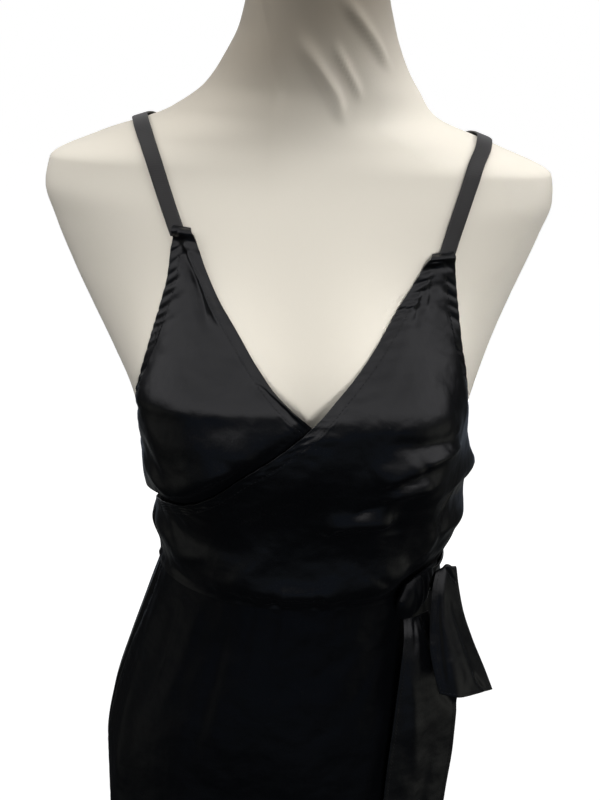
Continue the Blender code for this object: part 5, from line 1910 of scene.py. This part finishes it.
def bodice_lines(inside):
    """Stitch lines of the necklines, the armholes and the back's top edge."""
    lines = []
    for name in ("bodice_front_left", "bodice_front_right"):
        cross_away, side_away, along = sheets[name]["edges"]
        for away, start, from_last in ((cross_away, CROSS_START, True),
                                       (side_away, SIDE_TOP, False)):
            free = (along > start + STITCH_START) & (along < STITCH_END)
            lines.append(edge_line(name, away, inside, free, from_last))
    lines.append(edge_line("bodice_back", sheets["bodice_back"]["edges"][0], inside, turned=True))
    return lines


def skirt_lines(inside, foot_inside):
    """Stitch lines of the skirt's foot and of its free front edges."""
    lines = []
    for name in ("skirt_front_over", "skirt_front_under", "skirt_back"):
        foot_away, free_away = sheets[name]["edges"]
        lines.append(edge_line(name, foot_away, foot_inside, turned=True))
        if name != "skirt_back":
            lines.append(edge_line(name, free_away, inside, SKIRT_STITCH_ROWS))
    return lines


def tie_lines():
    """Stitch lines of the hanging ends: both long edges and the foot."""
    lines = []
    for name in ("tie_end_short", "tie_end_long"):
        foot_away, edge_away = sheets[name]["edges"]
        rows = slice(int(len(edge_away) * END_PLAIN_PART), -END_PLAIN_ROWS)
        for from_last in (False, True):
            lines.append(edge_line(name, edge_away, END_STITCH, rows, from_last))
        lines.append(edge_line(name, foot_away, END_STITCH, END_STITCH_COLUMNS, turned=True))
    return lines


class DRESS_OT_stitches(bpy.types.Operator):
    """Sews the hems' stitches on the pieces that are already built"""
    bl_idname = "dress.stitches"
    bl_label = "Stitches"

    def execute(self, context):
        if not {"bodice_back", "skirt_back", "tie_end_long"} <= sheets.keys():
            raise RuntimeError("build the bodice, the skirt and the tie before their stitches")
        sizes = context.scene.dress_sizes
        inside = STITCH_SHARE * sizes.hem
        stitch_piece("bodice_stitches", bodice_lines(inside))
        stitch_piece("skirt_stitches", skirt_lines(inside, STITCH_SHARE * sizes.skirt_hem))
        stitch_piece("tie_stitches", tie_lines())
        return {"FINISHED"}


# -------------------- studio
def studio_world():
    """Plain pale backdrop; surroundings that light the cloth more from above than below."""
    sizes = bpy.context.scene.dress_studio
    world = bpy.data.worlds.new("studio_surroundings")
    bpy.context.scene.world = world
    world.use_nodes = True
    world.cycles_visibility.diffuse = False
    world.node_tree.nodes.clear()
    maker = NodeMaker(world.node_tree)
    right, back, up = maker.axes(maker.place("Generated"), "XYZ")
    sideways = maker.math("ABSOLUTE", right, 0)
    behind = maker.span(back, *BEHIND)
    dimmed = 1 - maker.span(back, *BESIDE) * (1 - behind) * BESIDE_LOSS

    rise = maker.span(up + behind * BEHIND_LOWER, *SKY_RISE)
    fall = 1 - maker.span(up, *SKY_FALL) * SKY_LOSS
    above = maker.glow(SKY_TINT, rise * fall * dimmed * sizes.sky)

    around = maker.math("MAXIMUM", maker.span(sideways, *FLANK_SIDES), behind)
    ended = 1 - maker.span(up, *FLANK_END) * FLANK_LOSS
    uneven = 1 + maker.span(right, *FLANK_SIDES) * FLANK_MORE
    low_side = around * maker.span(up, *FLANK_DROP) * ended * dimmed * uneven
    flanks = maker.glow(FLANK_TINT, low_side * sizes.flank)

    ground = maker.span(up, *GROUND_DROP) * (1 - maker.span(up, *GROUND_END) * GROUND_LOSS)
    ground = ground * (1 - maker.span(sideways, *GROUND_SIDES)) * dimmed
    tint = maker.mix(maker.span(up, *GROUND_PALE), GROUND_TINT, GROUND_LOW_TINT)
    below = maker.glow(tint, ground * sizes.ground)

    light = maker.together(maker.together(above, flanks), below)
    seen = maker.glow((1, 1, 1, 1), sizes.backdrop)
    path = maker.node("ShaderNodeLightPath")
    mix = maker.node("ShaderNodeMixShader", None,
                     {0: path.outputs["Is Camera Ray"], 1: light, 2: seen})
    maker.node("ShaderNodeOutputWorld", None, {0: mix.outputs[0]})


def area_light(name, power, size, place, aim_height, spread):
    """A soft rectangular light that leaves the reflections to the surroundings."""
    data = bpy.data.lights.new(name, "AREA")
    data.energy = power
    data.shape = "RECTANGLE"
    data.size, data.size_y = size
    data.spread = math.radians(spread)
    lamp = bpy.data.objects.new(name, data)
    lamp.location = place
    lamp.rotation_mode = "QUATERNION"
    aim = Vector((0, 0, aim_height)) - Vector(place)
    lamp.rotation_quaternion = aim.to_track_quat("-Z", "Y")
    lamp.visible_glossy = False
    bpy.context.scene.collection.objects.link(lamp)


def studio_camera():
    """The camera in front of the dress, looking slightly down."""
    scene = bpy.context.scene
    data = bpy.data.cameras.new("camera")
    data.lens = CAMERA_LENS
    data.clip_start, data.clip_end = CAMERA_CLIP
    camera = bpy.data.objects.new("camera", data)
    place = Matrix.Translation((0, -CAMERA_BACK, WAIST + CAMERA_ABOVE_WAIST))
    tilt = Matrix.Rotation(math.radians(90 - CAMERA_TILT), 4, "X")
    roll = Matrix.Rotation(math.radians(CAMERA_ROLL), 4, "Z")
    camera.matrix_world = place @ tilt @ roll
    scene.collection.objects.link(camera)
    scene.camera = camera
    scene.view_settings.view_transform = "Standard"


class DRESS_OT_studio(bpy.types.Operator):
    """Builds the floor, the soft lights and the camera"""
    bl_idname = "dress.studio"
    bl_label = "Studio"

    def execute(self, context):
        sizes = context.scene.dress_studio
        builder = bmesh.new()
        bmesh.ops.create_circle(builder, cap_ends=True, segments=FLOOR_SEGMENTS,
                                radius=sizes.floor_radius)
        floor = placed("studio_floor", builder)
        floor.data.materials.append(finish("studio_floor"))
        floor.visible_glossy = False
        floor.visible_diffuse = False
        studio_world()
        for name, setting, share, *shape in LAMPS:
            area_light(name, share * getattr(sizes, setting), *shape)
        studio_camera()
        return {"FINISHED"}


# -------------------- add-on
class DRESS_PT_panel(bpy.types.Panel):
    """Lists the sizes, the colours and the steps that build the dress"""
    bl_idname = "DRESS_PT_panel"
    bl_label = "Wrap dress"
    bl_space_type = "VIEW_3D"
    bl_region_type = "UI"
    bl_category = "Wrap dress"

    def draw(self, context):
        for group in GROUPS:
            box = self.layout.box()
            settings = getattr(context.scene, group)
            for key in settings.bl_rna.properties.keys():
                if key not in ("rna_type", "name"):
                    box.prop(settings, key)
        for step in STEPS:
            self.layout.operator(step.bl_idname)


GROUPS = {"dress_sizes": DressSizes, "dress_colours": DressColours, "dress_studio": StudioSizes}
STEPS = (DRESS_OT_form, DRESS_OT_stand, DRESS_OT_bodice, DRESS_OT_skirt, DRESS_OT_straps,
         DRESS_OT_tie, DRESS_OT_stitches, DRESS_OT_studio)
CLASSES = (*GROUPS.values(), *STEPS, DRESS_PT_panel)


def register():
    for kind in CLASSES:
        bpy.utils.register_class(kind)
    for name, group in GROUPS.items():
        setattr(bpy.types.Scene, name, bpy.props.PointerProperty(type=group))


def unregister():
    for name in GROUPS:
        delattr(bpy.types.Scene, name)
    for kind in reversed(CLASSES):
        bpy.utils.unregister_class(kind)


def main():
    register()
    bpy.ops.dress.form()
    bpy.ops.dress.stand()
    bpy.ops.dress.bodice()
    bpy.ops.dress.skirt()
    bpy.ops.dress.straps()
    bpy.ops.dress.tie()
    bpy.ops.dress.stitches()
    bpy.ops.dress.studio()


if __name__ == "__main__":
    main()
